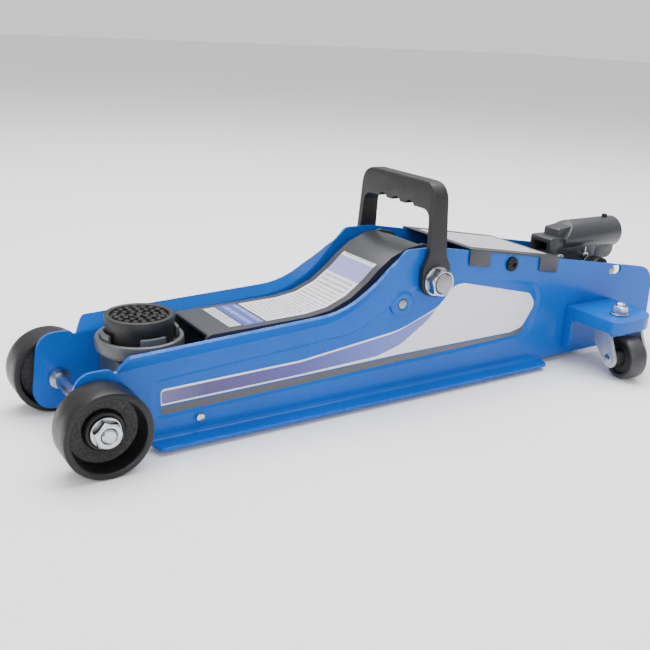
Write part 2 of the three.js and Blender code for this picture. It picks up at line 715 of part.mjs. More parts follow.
const padBottom = cupTop - 5 + FIT;
add('saddle_pad', rubber, turnedZ([
  [0, padBottom], [padRadius - 0.6, padBottom], [padRadius - 0.6, saddleTop - 9],
  [padRadius, saddleTop - 7], [padRadius, saddleTop - 1], [padRadius - 1, saddleTop],
  [padRadius - 3.4, saddleTop], [padRadius - 4, saddleTop - 2.6], [0, saddleTop - 2.6],
], [saddleX, 0], 28));

// ================================================================ levelling links

const linkBarOuter = linkBarInner + linkBarSheet;
add('link_pin', steel, join(
  barY(linkPinRadius, -linkBarOuter - 2, linkBarOuter + 2, linkPinAt),
  barY(linkPinRadius + 2, -linkBarOuter - 2.4, -linkBarOuter - FIT - 0.3, linkPinAt),
  barY(linkPinRadius + 2, linkBarOuter + FIT + 0.3, linkBarOuter + 2.4, linkPinAt)));

both((side, name) => {
  const span = Math.hypot(linkPinAt[0] - linkAnchorAt[0], linkPinAt[1] - linkAnchorAt[1]);
  const slope = Math.atan2(linkAnchorAt[1] - linkPinAt[1], linkAnchorAt[0] - linkPinAt[0]);
  const bar = outline([
    [-8.5, -8.5, 8.4], [18, -6, 20], [span - 18, -6, 20], [span + 8.5, -8.5, 8.4],
    [span + 8.5, 8.5, 8.4], [span - 18, 6, 20], [18, 6, 20], [-8.5, 8.5, 8.4],
  ], 4).map((p) => p.rotateAround(new THREE.Vector2(), slope)
    .add(new THREE.Vector2(...linkPinAt)));
  add(`link_bar_${name}`, steel, onSide(side, cut(
    plateXZ(bar, -linkBarOuter, -linkBarInner),
    barY(linkPinRadius + RUN, -PASS * 2, 0, linkPinAt, 12),
    barY(linkPinRadius + RUN, -PASS * 2, 0, linkAnchorAt, 12))));
  add(`link_anchor_pin_${name}`, steel, onSide(side, join(
    barY(linkPinRadius, -frameHalf - 1, -linkBarInner + 1, linkAnchorAt, 12),
    barY(linkPinRadius + 2, -linkBarInner + FIT, -linkBarInner + 1.6, linkAnchorAt, 12))));
});

// ================================================================ ram, cylinder and reservoir

const pushGap = 1.1;        // the crank roller leads the ram by up to this much in mid travel
const pushFace = crankAt[0] + rollerRadius + pushGap;
const crossbarX = pushFace + 13;
const capRear = capFront + capLength;
const unitAxis = [0, ramZ];
const pistonLength = 2.6;

const ramBody = turnedX([
  [0, pushFace], [14, pushFace], [15, pushFace + 1], [15, pushFace + 6], [ramRadius, pushFace + 7.5],
  [ramRadius, blockFront - pistonLength - 2], [cylinderBore - RUN, blockFront - pistonLength - 2],
  [cylinderBore - RUN, blockFront - 2], [0, blockFront - 2],
], unitAxis, 20);
const crossbarRadius = 3.5;
add('ram', zinc, cut(ramBody, barY(crossbarRadius + FIT, -PASS, PASS, [crossbarX, ramZ], 12)));
add('spring_crossbar', steel, barY(crossbarRadius, -plateInner + 1.9, plateInner - 1.9,
  [crossbarX, ramZ], 12));

const tubeX = (inner, outer, x0, x1) => turnedX(
  [[inner, x0], [outer, x0], [outer, x1], [inner, x1]], unitAxis, 24);
add('ram_cylinder', steel, tubeX(cylinderBore, cylinderOuter, capRear + FIT, blockFront - FIT));
add('reservoir_tube', blackOxide, tubeX(reservoirOuter - reservoirWall, reservoirOuter,
  capRear + FIT, blockFront - FIT));
add('gland_nut', blackOxide, turnedX([
  [ramRadius + RUN, capFront], [20, capFront], [21, capFront + 1], [21, capFront + 4],
  [reservoirOuter - 1.5, capFront + 4], [reservoirOuter - 0.5, capFront + 5],
  [reservoirOuter - 0.5, capRear], [ramRadius + RUN, capRear],
], unitAxis, 24));

// ================================================================ pump block

const blockTop = ramZ + reservoirOuter + 0.5;
const blockSaddle = 74;     // the lower rear part, where the socket swings
const blockFoot = 15.3;
const earHalf = socketHalf - cheek - 1;
const plungerTop = 96;
const pumpTop = 70;
const anchorX = blockFront + 9;

function pumpBlock() {
  const main = plateXZ(outline([
    [blockFront, blockFoot, 3], [blockRear - 6, blockFoot, 4], [blockRear - 6, pumpTop, 4],
    [socketPivot[0] + 20, pumpTop, 4], [socketPivot[0] + 14, blockSaddle, 3],
    [fillerX + 10, blockSaddle], [fillerX + 7, blockTop, 3], [blockFront, blockTop, 3],
  ], 3), -blockHalf, blockHalf);
  const ear = plateXZ(outline([
    [socketPivot[0] - 12, blockSaddle - 3], [socketPivot[0] - 8, socketPivot[1] + 8, 7.5],
    [socketPivot[0] + 8, socketPivot[1] + 8, 7.5], [socketPivot[0] + 12, blockSaddle - 3],
  ]), -earHalf, earHalf);
  const lugs = [-1, 1].map((s) => {
    const y0 = Math.min(s * 19, s * blockHalf);
    return plateXZ(outline([
      [trunnionAt[0] - 11, pumpTop - 6], [trunnionAt[0] - 9, trunnionAt[1] + 8.5, 8],
      [trunnionAt[0] + 9, trunnionAt[1] + 8.5, 8], [trunnionAt[0] + 9, pumpTop - 14],
    ]), y0, y0 + blockHalf - 19);
  });
  const anchors = [-1, 1].map((s) => box(anchorX - 3, anchorX + 3,
    Math.min(s * (blockHalf - 2), s * (plateInner - 1.2)),
    Math.max(s * (blockHalf - 2), s * (plateInner - 1.2)), ramZ - 6, ramZ + 6));
  return cut(join(main, ear, ...lugs, ...anchors),
    barY(socketPinRadius + FIT, -PASS, PASS, socketPivot, 12),
    barY(trunnionRadius + FIT, -PASS * 2, PASS * 2, trunnionAt, 12),
    barZ(plungerRadius + RUN, 32, PASS * 4, [plungerX, 0]),
    barX(5 + RUN, blockRear - 26, blockRear + PASS, [0, releaseZ], 12),
    barZ(6 + FIT, blockTop - 10, blockTop + PASS, [fillerX, 0], 12));
}
add('pump_block', blackOxide, pumpBlock());
add('filler_plug', zinc, join(barZ(6, blockTop - 9, blockTop + 1, [fillerX, 0], 12),
  plateXY(hexagon(14, [fillerX, 0]), blockTop + FIT, blockTop + 5)));
add('release_valve', steel, join(
  barX(5, blockRear - 25, blockRear + 3, [0, releaseZ], 12),
  barX(8, blockRear - 5, blockRear + 6, [0, releaseZ], 24),
  box(blockRear + 5, blockRear + 17, -2.5, 2.5, releaseZ - 7, releaseZ + 7)));
both((side, name) => add(`trunnion_pin_${name}`, steel, onSide(side,
  barY(trunnionRadius, -frameHalf + 0.4, -19.5, trunnionAt, 12))));
add('unit_base_plate', bluePaint, box(blockFront - 8, blockRear - 30, -plateInner + FIT,
  plateInner - FIT, blockFoot - FIT - 4.5, blockFoot - FIT));

both((side, name) => add(`return_spring_${name}`, zinc, coilX(
  crossbarX + crossbarRadius + FIT, anchorX - 3 - FIT, 11, springRadius, springWire,
  [side * springOffset, ramZ])));

// ================================================================ pump plunger

const pinClear = (1 - Math.cos(rad(pumpSwing))) * (plungerX - socketPivot[0]);
function pumpPlunger() {
  const rod = barZ(plungerRadius, 34, plungerTop - 14, [plungerX, 0]);
  const [, pinZ] = plungerPinAt;
  const head = box(plungerX - pinClear - 9, plungerX + 8, -4, 4, pinZ - 9, pinZ + 8);
  const eye = plateXZ(outline([
    [plungerX - pinClear - plungerPinRadius - 1, pinZ - plungerPinRadius - 1.1, 3],
    [plungerX + plungerPinRadius + 1, pinZ - plungerPinRadius - 1.1, 3],
    [plungerX + plungerPinRadius + 1, pinZ + plungerPinRadius + 1.1, 3],
    [plungerX - pinClear - plungerPinRadius - 1, pinZ + plungerPinRadius + 1.1, 3],
  ]), -PASS, PASS);
  return cut(join(rod, head), eye);
}
add('pump_plunger', zinc, pumpPlunger());

// ================================================================ handle socket

function handleSocket() {
  const [px, pz] = socketPivot;
  const shoulderZ = tubeAxisZ + 2;
  const body = plateXZ(outline([
    [px - 11, shoulderZ, 2], [px - 11, pz - 6, 4], [px - 4, pz - 9, 3],
    [px + 50, pz - 9, 3], [px + 51, pz + 8, 8], [px + 66, tubeAxisZ - 6],
    [px + 66, tubeAxisZ + 1], [px + 5, tubeAxisZ + 1], [px + 5, shoulderZ],
  ]), -socketHalf, socketHalf);
  const step = plateXZ(outline([
    [px + 2, tubeAxisZ - 1], [px + 2, tubeAxisZ + 9, 2], [px + 18, tubeAxisZ + 11],
    [px + 18, tubeAxisZ - 1],
  ]), -9, 9);
  const channel = plateXZ([
    [px - PASS, 0], [px - PASS, pz + 14], [px + 54, pz + 14], [px + 54, 0],
  ].map(([x, z]) => new THREE.Vector2(x, z)), -socketHalf + cheek, socketHalf - cheek);
  const slant = plateXZ([
    [tubeFrontX - PASS, tubeAxisZ], [tubeFrontX, tubeAxisZ],
    [tubeFrontX + tubeOuter + 1, tubeAxisZ + tubeOuter + 1],
    [tubeFrontX - PASS, tubeAxisZ + tubeOuter + 1],
  ].map(([x, z]) => new THREE.Vector2(x, z)), -PASS, PASS);
  const tube = cut(barX(tubeOuter, tubeFrontX, tubeEndX, [0, tubeAxisZ], 24), slant);
  const bore = barX(tubeOuter - tubeWall, px + 42, tubeEndX + PASS, [0, tubeAxisZ], 24);
  const heel = plateXZ(outline([
    [px + 56, tubeAxisZ - 8], [px + 56, 81, 9], [tubeEndX, 81, 9], [tubeEndX, tubeAxisZ - 8],
  ], 5), -7, 7);
  return cut(join(cut(join(body, step, tube), channel), heel), bore,
    barY(socketPinRadius + FIT, -PASS, PASS, socketPivot, 12),
    barY(plungerPinRadius + FIT, -PASS, PASS, plungerPinAt, 12),
    barZ(setScrewRadius + FIT, tubeAxisZ, tubeAxisZ + PASS, [setScrewX, 0], 16));
}
add('handle_socket', greyPaint, handleSocket());
add('socket_set_screw', blackOxide, cut(
  barZ(setScrewRadius, tubeAxisZ + tubeOuter - tubeWall + 0.4, tubeAxisZ + tubeOuter + 2.4,
    [setScrewX, 0], 16),
  plateXY(hexagon(2.6, [setScrewX, 0]), tubeAxisZ + tubeOuter, tubeAxisZ + PASS)));
add('socket_pivot_pin', zinc, barY(socketPinRadius, -socketHalf - 5, socketHalf + 5, socketPivot, 12));
add('plunger_pin', zinc, cut(
  barY(plungerPinRadius, -socketHalf - 4, socketHalf + 2, plungerPinAt, 12),
  barZ(cotterRadius + FIT, 0, 200, [plungerX, -socketHalf - 2], 10)));
add('plunger_cotter', zinc, barZ(cotterRadius, plungerPinAt[1] - 8, plungerPinAt[1] + 8,
  [plungerX, -socketHalf - 2], 10));

// ================================================================ carry handle

function carryHandle() {
  const [px, pz] = armPivot;
  const gripZ = handleTop - gripHeight;
  const foot = pz - handleEye;
  const straight = pz + 22;
  const loop = plateYZ(outline([
    [-handleOuter, foot], [-handleOuter, straight, 20], [-handleOuter + handleLean, handleTop, 14],
    [handleOuter - handleLean, handleTop, 14], [handleOuter, straight, 20], [handleOuter, foot],
    [handleInner, foot], [handleInner, straight, 20], [handleInner - handleLean, gripZ, 8],
    [-handleInner + handleLean, gripZ, 8], [-handleInner, straight, 20], [-handleInner, foot],
  ], 5), px - handleEye, px + handleEye);
  const sideShape = plateXZ(outline([
    [px - handleEye, foot, handleEye - 0.2], [px - handleEye, pz + 10, 8],
    [px - 8.5, pz + 20, 14], [px - 6.3, handleTop + 1, 4],
    [px + 6.3, handleTop + 1, 4], [px + 8.5, pz + 20, 14],
    [px + handleEye, pz + 10, 8], [px + handleEye, foot, handleEye - 0.2],
  ], 5), -handleOuter - 1, handleOuter + 1);
  const fingers = [-18, 0, 18].map((y) => barX(6, px - PASS, px + PASS, [y, gripZ - 2.5], 12));
  return cut(loop.intersect(sideShape), ...fingers,
    barY(pivotShaftRadius + RUN, -PASS * 3, PASS * 3, armPivot));
}
add('carry_handle', blackPlastic, carryHandle());

// ================================================================ origin

jack.position.x = -(frameLength - wheelRadius) / 2;
jack.updateMatrixWorld(true);

export default jack;
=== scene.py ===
# Low-profile hydraulic floor jack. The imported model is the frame, and each section below puts
# one piece of the real jack on it, from the studio through the pressed frame to the handle.
import json
import math
import bmesh
import bpy
import numpy as np
from mathutils import Matrix, Vector
from mathutils.bvhtree import BVHTree

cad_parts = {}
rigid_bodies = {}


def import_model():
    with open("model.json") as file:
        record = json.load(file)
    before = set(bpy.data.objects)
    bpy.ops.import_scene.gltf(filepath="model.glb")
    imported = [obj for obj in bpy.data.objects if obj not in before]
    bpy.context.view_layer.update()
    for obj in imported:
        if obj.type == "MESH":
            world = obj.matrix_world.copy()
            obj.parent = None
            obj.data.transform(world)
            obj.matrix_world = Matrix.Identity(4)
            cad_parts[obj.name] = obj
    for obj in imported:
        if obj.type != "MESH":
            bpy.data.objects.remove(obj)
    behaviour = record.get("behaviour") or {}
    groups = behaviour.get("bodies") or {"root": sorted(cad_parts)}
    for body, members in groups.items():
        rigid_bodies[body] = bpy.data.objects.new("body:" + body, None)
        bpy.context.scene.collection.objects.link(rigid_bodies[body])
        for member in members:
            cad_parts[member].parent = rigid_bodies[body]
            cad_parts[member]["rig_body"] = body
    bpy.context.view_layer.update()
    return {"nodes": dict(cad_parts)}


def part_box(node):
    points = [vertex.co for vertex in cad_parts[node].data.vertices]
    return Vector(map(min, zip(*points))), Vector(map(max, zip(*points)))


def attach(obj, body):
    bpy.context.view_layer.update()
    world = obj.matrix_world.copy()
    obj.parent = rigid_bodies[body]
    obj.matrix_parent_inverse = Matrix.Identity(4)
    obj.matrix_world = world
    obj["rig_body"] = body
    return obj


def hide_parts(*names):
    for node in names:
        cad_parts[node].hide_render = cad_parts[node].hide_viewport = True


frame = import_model()


# ---------------------------------------------------------------- studio
# A pale floor that runs out of sight, a large overhead softbox, a soft fill from the left and
# a low strip at the front. The camera stands off the left front corner, above the jack.
MM = 0.001
low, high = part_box("front_axle")
axle_x = (low.x + high.x) / 2


def point(x, y, z):
    """A place on the jack, in mm from the front axle, in the frame's metres."""
    return Vector((axle_x + x * MM, y * MM, z * MM))


def linear(red, green, blue):
    """A colour from 0-255 values as the linear colour that a shader takes."""
    def one(value):
        value /= 255
        return value / 12.92 if value <= 0.04045 else ((value + 0.055) / 1.055) ** 2.4
    return (one(red), one(green), one(blue), 1)


def mesh_object(name, vertices, faces, material, body=None, smooth=35):
    """A mesh in place, dressed in the material it is given."""
    mesh = bpy.data.meshes.new(name)
    mesh.from_pydata([tuple(v) for v in vertices], [], [tuple(f) for f in faces])
    return dressed(name, mesh, material, body, smooth)


def dressed(name, mesh, material, body, smooth):
    """A finished mesh becomes an object: normals out, smooth below an angle, on its body."""
    bm = bmesh.new()
    bm.from_mesh(mesh)
    bmesh.ops.recalc_face_normals(bm, faces=bm.faces)
    bm.to_mesh(mesh)
    bm.free()
    piece = bpy.data.objects.new(name, mesh)
    bpy.context.scene.collection.objects.link(piece)
    mesh.materials.append(material)
    mesh.shade_smooth()
    mesh.set_sharp_from_angle(angle=math.radians(smooth))
    if body:
        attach(piece, body)
    return piece


def node_group(name, inputs, outputs):
    """An effect that several finishes share, with named sockets: (name, kind, value)."""
    group = bpy.data.node_groups.new(name, "ShaderNodeTree")
    for label, kind, value in inputs:
        socket = group.interface.new_socket(label, in_out="INPUT", socket_type=kind)
        socket.default_value = value
    for label, kind in outputs:
        group.interface.new_socket(label, in_out="OUTPUT", socket_type=kind)
    return group, group.nodes.new("NodeGroupInput"), group.nodes.new("NodeGroupOutput")


def node(tree, kind, links=None, **values):
    """A node with its inputs linked or set, and its own settings."""
    made = tree.nodes.new(kind)
    for key, value in values.items():
        setattr(made, key, value)
    for key, value in (links or {}).items():
        socket = made.inputs[key]
        if isinstance(value, bpy.types.NodeSocket):
            tree.links.new(value, socket)
        else:
            socket.default_value = value
    return made


# Uneven tone of a real coat: broad clouds and fine specks, as a colour and a mask.
mottle, given, out = node_group("uneven_tone",
    [("Color", "NodeSocketColor", (0.5, 0.5, 0.5, 1)), ("Depth", "NodeSocketFloat", 0.15),
     ("Size", "NodeSocketFloat", 40.0)],
    [("Color", "NodeSocketColor"), ("Mask", "NodeSocketFloat")])
where = node(mottle, "ShaderNodeTexCoord")
clouds = node(mottle, "ShaderNodeTexNoise", {"Vector": where.outputs["Object"],
    "Scale": given.outputs["Size"], "Detail": 5.0, "Roughness": 0.6})
specks = node(mottle, "ShaderNodeTexNoise", {"Vector": where.outputs["Object"],
    "Scale": 900.0, "Detail": 2.0})
both = node(mottle, "ShaderNodeMath", {0: clouds.outputs["Fac"], 1: specks.outputs["Fac"]},
    operation="MULTIPLY_ADD")
both.inputs[2].default_value = 0.05
mask = node(mottle, "ShaderNodeMapRange", {"Value": both.outputs[0], "From Min": 0.15,
    "From Max": 0.45})
shade = node(mottle, "ShaderNodeMath", {0: mask.outputs[0], 1: given.outputs["Depth"]},
    operation="MULTIPLY")
darker = node(mottle, "ShaderNodeMath", {0: 1.0, 1: shade.outputs[0]}, operation="SUBTRACT")
tinted = node(mottle, "ShaderNodeVectorMath", {0: given.outputs["Color"],
    "Scale": darker.outputs[0]}, operation="SCALE")
mottle.links.new(tinted.outputs[0], out.inputs["Color"])
mottle.links.new(mask.outputs[0], out.inputs["Mask"])

# Fine relief: orange peel, casting grain or moulded grain, by its size and height.
grain, given, out = node_group("fine_relief",
    [("Size", "NodeSocketFloat", 600.0), ("Height", "NodeSocketFloat", 0.1)],
    [("Normal", "NodeSocketVector")])
where = node(grain, "ShaderNodeTexCoord")
lumps = node(grain, "ShaderNodeTexNoise", {"Vector": where.outputs["Object"],
    "Scale": given.outputs["Size"], "Detail": 3.0, "Roughness": 0.55})
bump = node(grain, "ShaderNodeBump", {"Height": lumps.outputs["Fac"],
    "Strength": given.outputs["Height"], "Distance": 0.0004})
grain.links.new(bump.outputs[0], out.inputs["Normal"])

# Worn and lit edges: where the surface turns sharply, an edge colour broken by noise. On some
# finishes it stands for knocked coat, on others it is a painted highlight along the edge.
wear_and_highlight_group, given, out = node_group("worn_and_lit_edges",
    [("Width", "NodeSocketFloat", 0.0008), ("Amount", "NodeSocketFloat", 0.5)],
    [("Mask", "NodeSocketFloat")])
round_off = node(wear_and_highlight_group, "ShaderNodeBevel", {"Radius": given.outputs["Width"]}, samples=4)
flat = node(wear_and_highlight_group, "ShaderNodeNewGeometry")
turn = node(wear_and_highlight_group, "ShaderNodeVectorMath", {0: round_off.outputs[0], 1: flat.outputs["Normal"]},
    operation="DOT_PRODUCT")
edge = node(wear_and_highlight_group, "ShaderNodeMapRange", {"Value": turn.outputs["Value"], "From Min": 0.97,
    "From Max": 0.75})
where = node(wear_and_highlight_group, "ShaderNodeTexCoord")
edge_breakup = node(wear_and_highlight_group, "ShaderNodeTexNoise", {"Vector": where.outputs["Object"], "Scale": 160.0,
    "Detail": 4.0})
broken = node(wear_and_highlight_group, "ShaderNodeMapRange", {"Value": edge_breakup.outputs["Fac"], "From Min": 0.45,
    "From Max": 0.62})
wear_and_highlight = node(wear_and_highlight_group, "ShaderNodeMath", {0: edge.outputs[0], 1: broken.outputs[0]},
    operation="MULTIPLY")
kept = node(wear_and_highlight_group, "ShaderNodeMath", {0: wear_and_highlight.outputs[0], 1: given.outputs["Amount"]},
    operation="MULTIPLY")
wear_and_highlight_group.links.new(kept.outputs[0], out.inputs["Mask"])


def coat(name, colour, rough, depth=0.15, size=40, grain_size=600, grain_height=0.1,
         wear_and_highlight=None, wear_and_highlight_amount=0.5, wear_and_highlight_width=0.0008, **plain):
    """A coat or bare finish: uneven tone, fine relief and, where given, an edge colour that is wear
    on some finishes and a painted highlight on others.
    """
    material = bpy.data.materials.new(name)
    material.use_nodes = True
    tree = material.node_tree
    shader = tree.nodes["Principled BSDF"]
    tone = node(tree, "ShaderNodeGroup", node_tree=mottle)
    tone.inputs["Color"].default_value = colour
    tone.inputs["Depth"].default_value = depth
    tone.inputs["Size"].default_value = size
    colour_out = tone.outputs["Color"]
    if wear_and_highlight:
        edge_wear_and_highlight = node(tree, "ShaderNodeGroup", node_tree=wear_and_highlight_group)
        edge_wear_and_highlight.inputs["Width"].default_value = wear_and_highlight_width
        edge_wear_and_highlight.inputs["Amount"].default_value = wear_and_highlight_amount
        blend = node(tree, "ShaderNodeMix", data_type="RGBA")
        tree.links.new(edge_wear_and_highlight.outputs["Mask"], blend.inputs["Factor"])
        tree.links.new(colour_out, blend.inputs[6])
        blend.inputs[7].default_value = wear_and_highlight
        colour_out = blend.outputs[2]
    tree.links.new(colour_out, shader.inputs["Base Color"])
    spread = node(tree, "ShaderNodeMapRange", {"Value": tone.outputs["Mask"],
        "To Min": rough * 0.8, "To Max": rough * 1.25})
    tree.links.new(spread.outputs[0], shader.inputs["Roughness"])
    relief = node(tree, "ShaderNodeGroup", node_tree=grain)
    relief.inputs["Size"].default_value = grain_size
    relief.inputs["Height"].default_value = grain_height
    tree.links.new(relief.outputs[0], shader.inputs["Normal"])
    for key, value in plain.items():
        shader.inputs[key.replace("_", " ")].default_value = value
    return material


studio_white = coat("studio_paper", (0.92, 0.92, 0.92, 1), 0.85, depth=0.01, grain_height=0.02)
FLOOR_HALF = 12
floor = mesh_object("floor", [(-FLOOR_HALF, -FLOOR_HALF, 0), (FLOOR_HALF, -FLOOR_HALF, 0),
    (FLOOR_HALF, FLOOR_HALF, 0), (-FLOOR_HALF, FLOOR_HALF, 0)], [(0, 1, 2, 3)], studio_white)


def softbox(name, place, towards, width, height, watts):
    """A soft rectangular light that faces a place on the jack."""
    light = bpy.data.lights.new(name, "AREA")
    light.shape = "RECTANGLE"
    light.size, light.size_y, light.energy = width, height, watts
    lamp = bpy.data.objects.new(name, light)
    bpy.context.scene.collection.objects.link(lamp)
    lamp.location = place
    lamp.rotation_euler = (Vector(towards) - Vector(place)).to_track_quat("-Z", "Y").to_euler()


softbox("overhead_softbox", (0.2, 0.3, 1.7), (0, 0, 0), 2.0, 1.6, 62)
softbox("left_fill", (-0.6, -1.8, 0.9), (0, 0, 0.05), 1.4, 1.0, 13)
softbox("front_strip", (-1.7, -0.2, 0.6), (0, 0, 0.05), 0.5, 1.2, 7)
world = bpy.data.worlds.new("studio_air")
bpy.context.scene.world = world
world.use_nodes = True
air = world.node_tree
sky = node(air, "ShaderNodeTexCoord")
height = node(air, "ShaderNodeSeparateXYZ", {"Vector": sky.outputs["Generated"]})
glow = node(air, "ShaderNodeMapRange", {"Value": height.outputs["Z"], "From Min": -0.1,
    "From Max": 0.75, "To Min": 0.35, "To Max": 1.05})
ray = node(air, "ShaderNodeLightPath")
seen = node(air, "ShaderNodeMath", {0: glow.outputs[0], 1: ray.outputs["Is Camera Ray"]},
    operation="MAXIMUM")
air.nodes["Background"].inputs["Color"].default_value = (1, 1, 1, 1)
air.links.new(seen.outputs[0], air.nodes["Background"].inputs["Strength"])

lens = bpy.data.cameras.new("camera")
lens.lens, lens.sensor_width = 48.46, 36
camera = bpy.data.objects.new("camera", lens)
bpy.context.scene.collection.objects.link(camera)
bpy.context.scene.camera = camera
CAMERA_YAW, CAMERA_PITCH, CAMERA_ROLL = 33.38, 18.74, 2.91
CAMERA_AT = (-164.3, -561.0, 281.6)
turned, tipped, leaned = (math.radians(a) for a in (CAMERA_YAW, CAMERA_PITCH, CAMERA_ROLL))
ahead = Vector((math.sin(turned) * math.cos(tipped), math.cos(turned) * math.cos(tipped),
                -math.sin(tipped)))
right = Vector((math.cos(turned), -math.sin(turned), 0))
up = right.cross(ahead)
across = right * math.cos(leaned) + up * math.sin(leaned)
upright = up * math.cos(leaned) - right * math.sin(leaned)
camera.matrix_world = Matrix((across, upright, -ahead)).transposed().to_4x4()
camera.location = point(*CAMERA_AT)


# ---------------------------------------------------------------- side plates
# Each side is one pressed 2.5 mm sheet: a long panel sunk into its face, a flange that leans
# out along the shelf, a flat foot flange, gloss blue enamel over everything.
SHEET = 2.5
FACE = 44
ARC_STEPS = 8


def outline(corners):
    """Corners (x, y, radius) as one closed line with its corners rounded."""
    spots = [Vector(c[:2]) for c in corners]
    radii = [c[2] if len(c) > 2 else 0 for c in corners]
    count = len(spots)
    bends = []
    for i, spot in enumerate(spots):
        back = (spots[i - 1] - spot).normalized()
        on = (spots[(i + 1) % count] - spot).normalized()
        half = math.acos(max(-1, min(1, back.dot(on)))) / 2
        bends.append((back, on, half, radii[i] / math.tan(half)))
    line = []
    for i, spot in enumerate(spots):
        back, on, half, reach = bends[i]
        room = 1
        for j in (i - 1, (i + 1) % count):
            length = (spots[j] - spot).length
            room = min(room, length / max(length, reach + bends[j][3]))
        reach *= room * 0.999
        if reach < 0.2:
            line.append(spot)
            continue
        centre = spot + (back + on).normalized() * (reach / math.cos(half))
        start, end = spot + back * reach - centre, spot + on * reach - centre
        sweep = math.atan2(start.x * end.y - start.y * end.x, start.dot(end))
        for k in range(ARC_STEPS + 1):
            a = sweep * k / ARC_STEPS
            line.append(centre + Vector((start.x * math.cos(a) - start.y * math.sin(a),
                                         start.x * math.sin(a) + start.y * math.cos(a))))
    return line


def depth_inside(x, z, line):
    """Signed distance to a closed line, positive inside, for arrays of places."""
    ends = np.array([tuple(p) for p in line])
    starts = np.roll(ends, 1, axis=0)
    best = np.full(x.shape, 1e9)
    inside = np.zeros(x.shape, bool)
    for (ax, az), (bx, bz) in zip(starts, ends):
        dx, dz = bx - ax, bz - az
        along = np.clip(((x - ax) * dx + (z - az) * dz) / (dx * dx + dz * dz + 1e-12), 0, 1)
        best = np.minimum(best, np.hypot(x - ax - along * dx, z - az - along * dz))
        crosses = ((az > z) != (bz > z)) & (x < dx * (z - az) / (dz + 1e-12) + ax)
        inside ^= crosses
    return np.where(inside, best, -best)


# The pale blue edge colour is a painted highlight along the sheet's edges, with a little wear.
blue_enamel = coat("blue_enamel", linear(0, 92, 190), 0.22, depth=0.22, size=14,
    grain_size=320, grain_height=0.07, wear_and_highlight=linear(110, 156, 216), wear_and_highlight_amount=0.6,
    wear_and_highlight_width=0.0007, Coat_Weight=0.06, Coat_Roughness=0.08, Specular_IOR_Level=0.2)
PLATE_EDGE = outline([(-20, 4.5, 15), (-13, 64, 14), (11, 64, 5), (14, 60), (205.6, 72.3, 85),
    (249, 122, 6), (276, 122, 30), (553.5, 77.2, 22), (556, 6.5, 12), (30, 6.5, 10)])
FLANGE_LEAN = 30        # degrees from upright
FLANGE_BEND, FOOT_BEND, FOOT_WIDTH = 2.6, 3, 14
PANEL_DEPTH = 1.25
GRID_ROWS, GRID_STEP = 74, 1.9
PANEL = outline([(42, 23, 5), (42, 49, 5), (206, 60, 60), (262, 91, 30), (309, 93, 12),
    (404, 76, 16), (392, 33, 14)])


def edge_heights(line, xs):
    """Lowest and highest point of a closed line at each x."""
    lows, highs = np.full(len(xs), 1e9), np.full(len(xs), -1e9)
    for a, b in zip(line, line[1:] + line[:1]):
        if abs(a.x - b.x) < 1e-9:
            continue
        t = (xs - a.x) / (b.x - a.x)
        hit = (t >= -1e-6) & (t <= 1 + 1e-6)
        z = a.y + t * (b.y - a.y)
        lows = np.where(hit, np.minimum(lows, z), lows)
        highs = np.where(hit, np.maximum(highs, z), highs)
    return lows, highs


def eased(value, start, end):
    """0 before start, 1 after end, and a smooth rise between them."""
    t = np.clip((value - start) / (end - start), 0, 1)
    return t * t * (3 - 2 * t)


def slab_faces(count):
    """The faces between a line of points and its copy: both ends and the wall."""
    ends = [tuple(range(count)), tuple(range(2 * count - 1, count - 1, -1))]
    return ends + [(i, (i + 1) % count, count + (i + 1) % count, count + i)
                   for i in range(count)]


def prism(name, line, y0, y1):
    """A side-view line as a closed plate between two widths."""
    vertices = [point(p.x, y, p.y) for y in (y0, y1) for p in line]
    return mesh_object(name, vertices, slab_faces(len(line)), blue_enamel)


def settled(piece):
    """The piece's modifiers are worked into its mesh."""
    graph = bpy.context.evaluated_depsgraph_get()
    done = bpy.data.meshes.new_from_object(piece.evaluated_get(graph))
    piece.modifiers.clear()
    piece.data = done


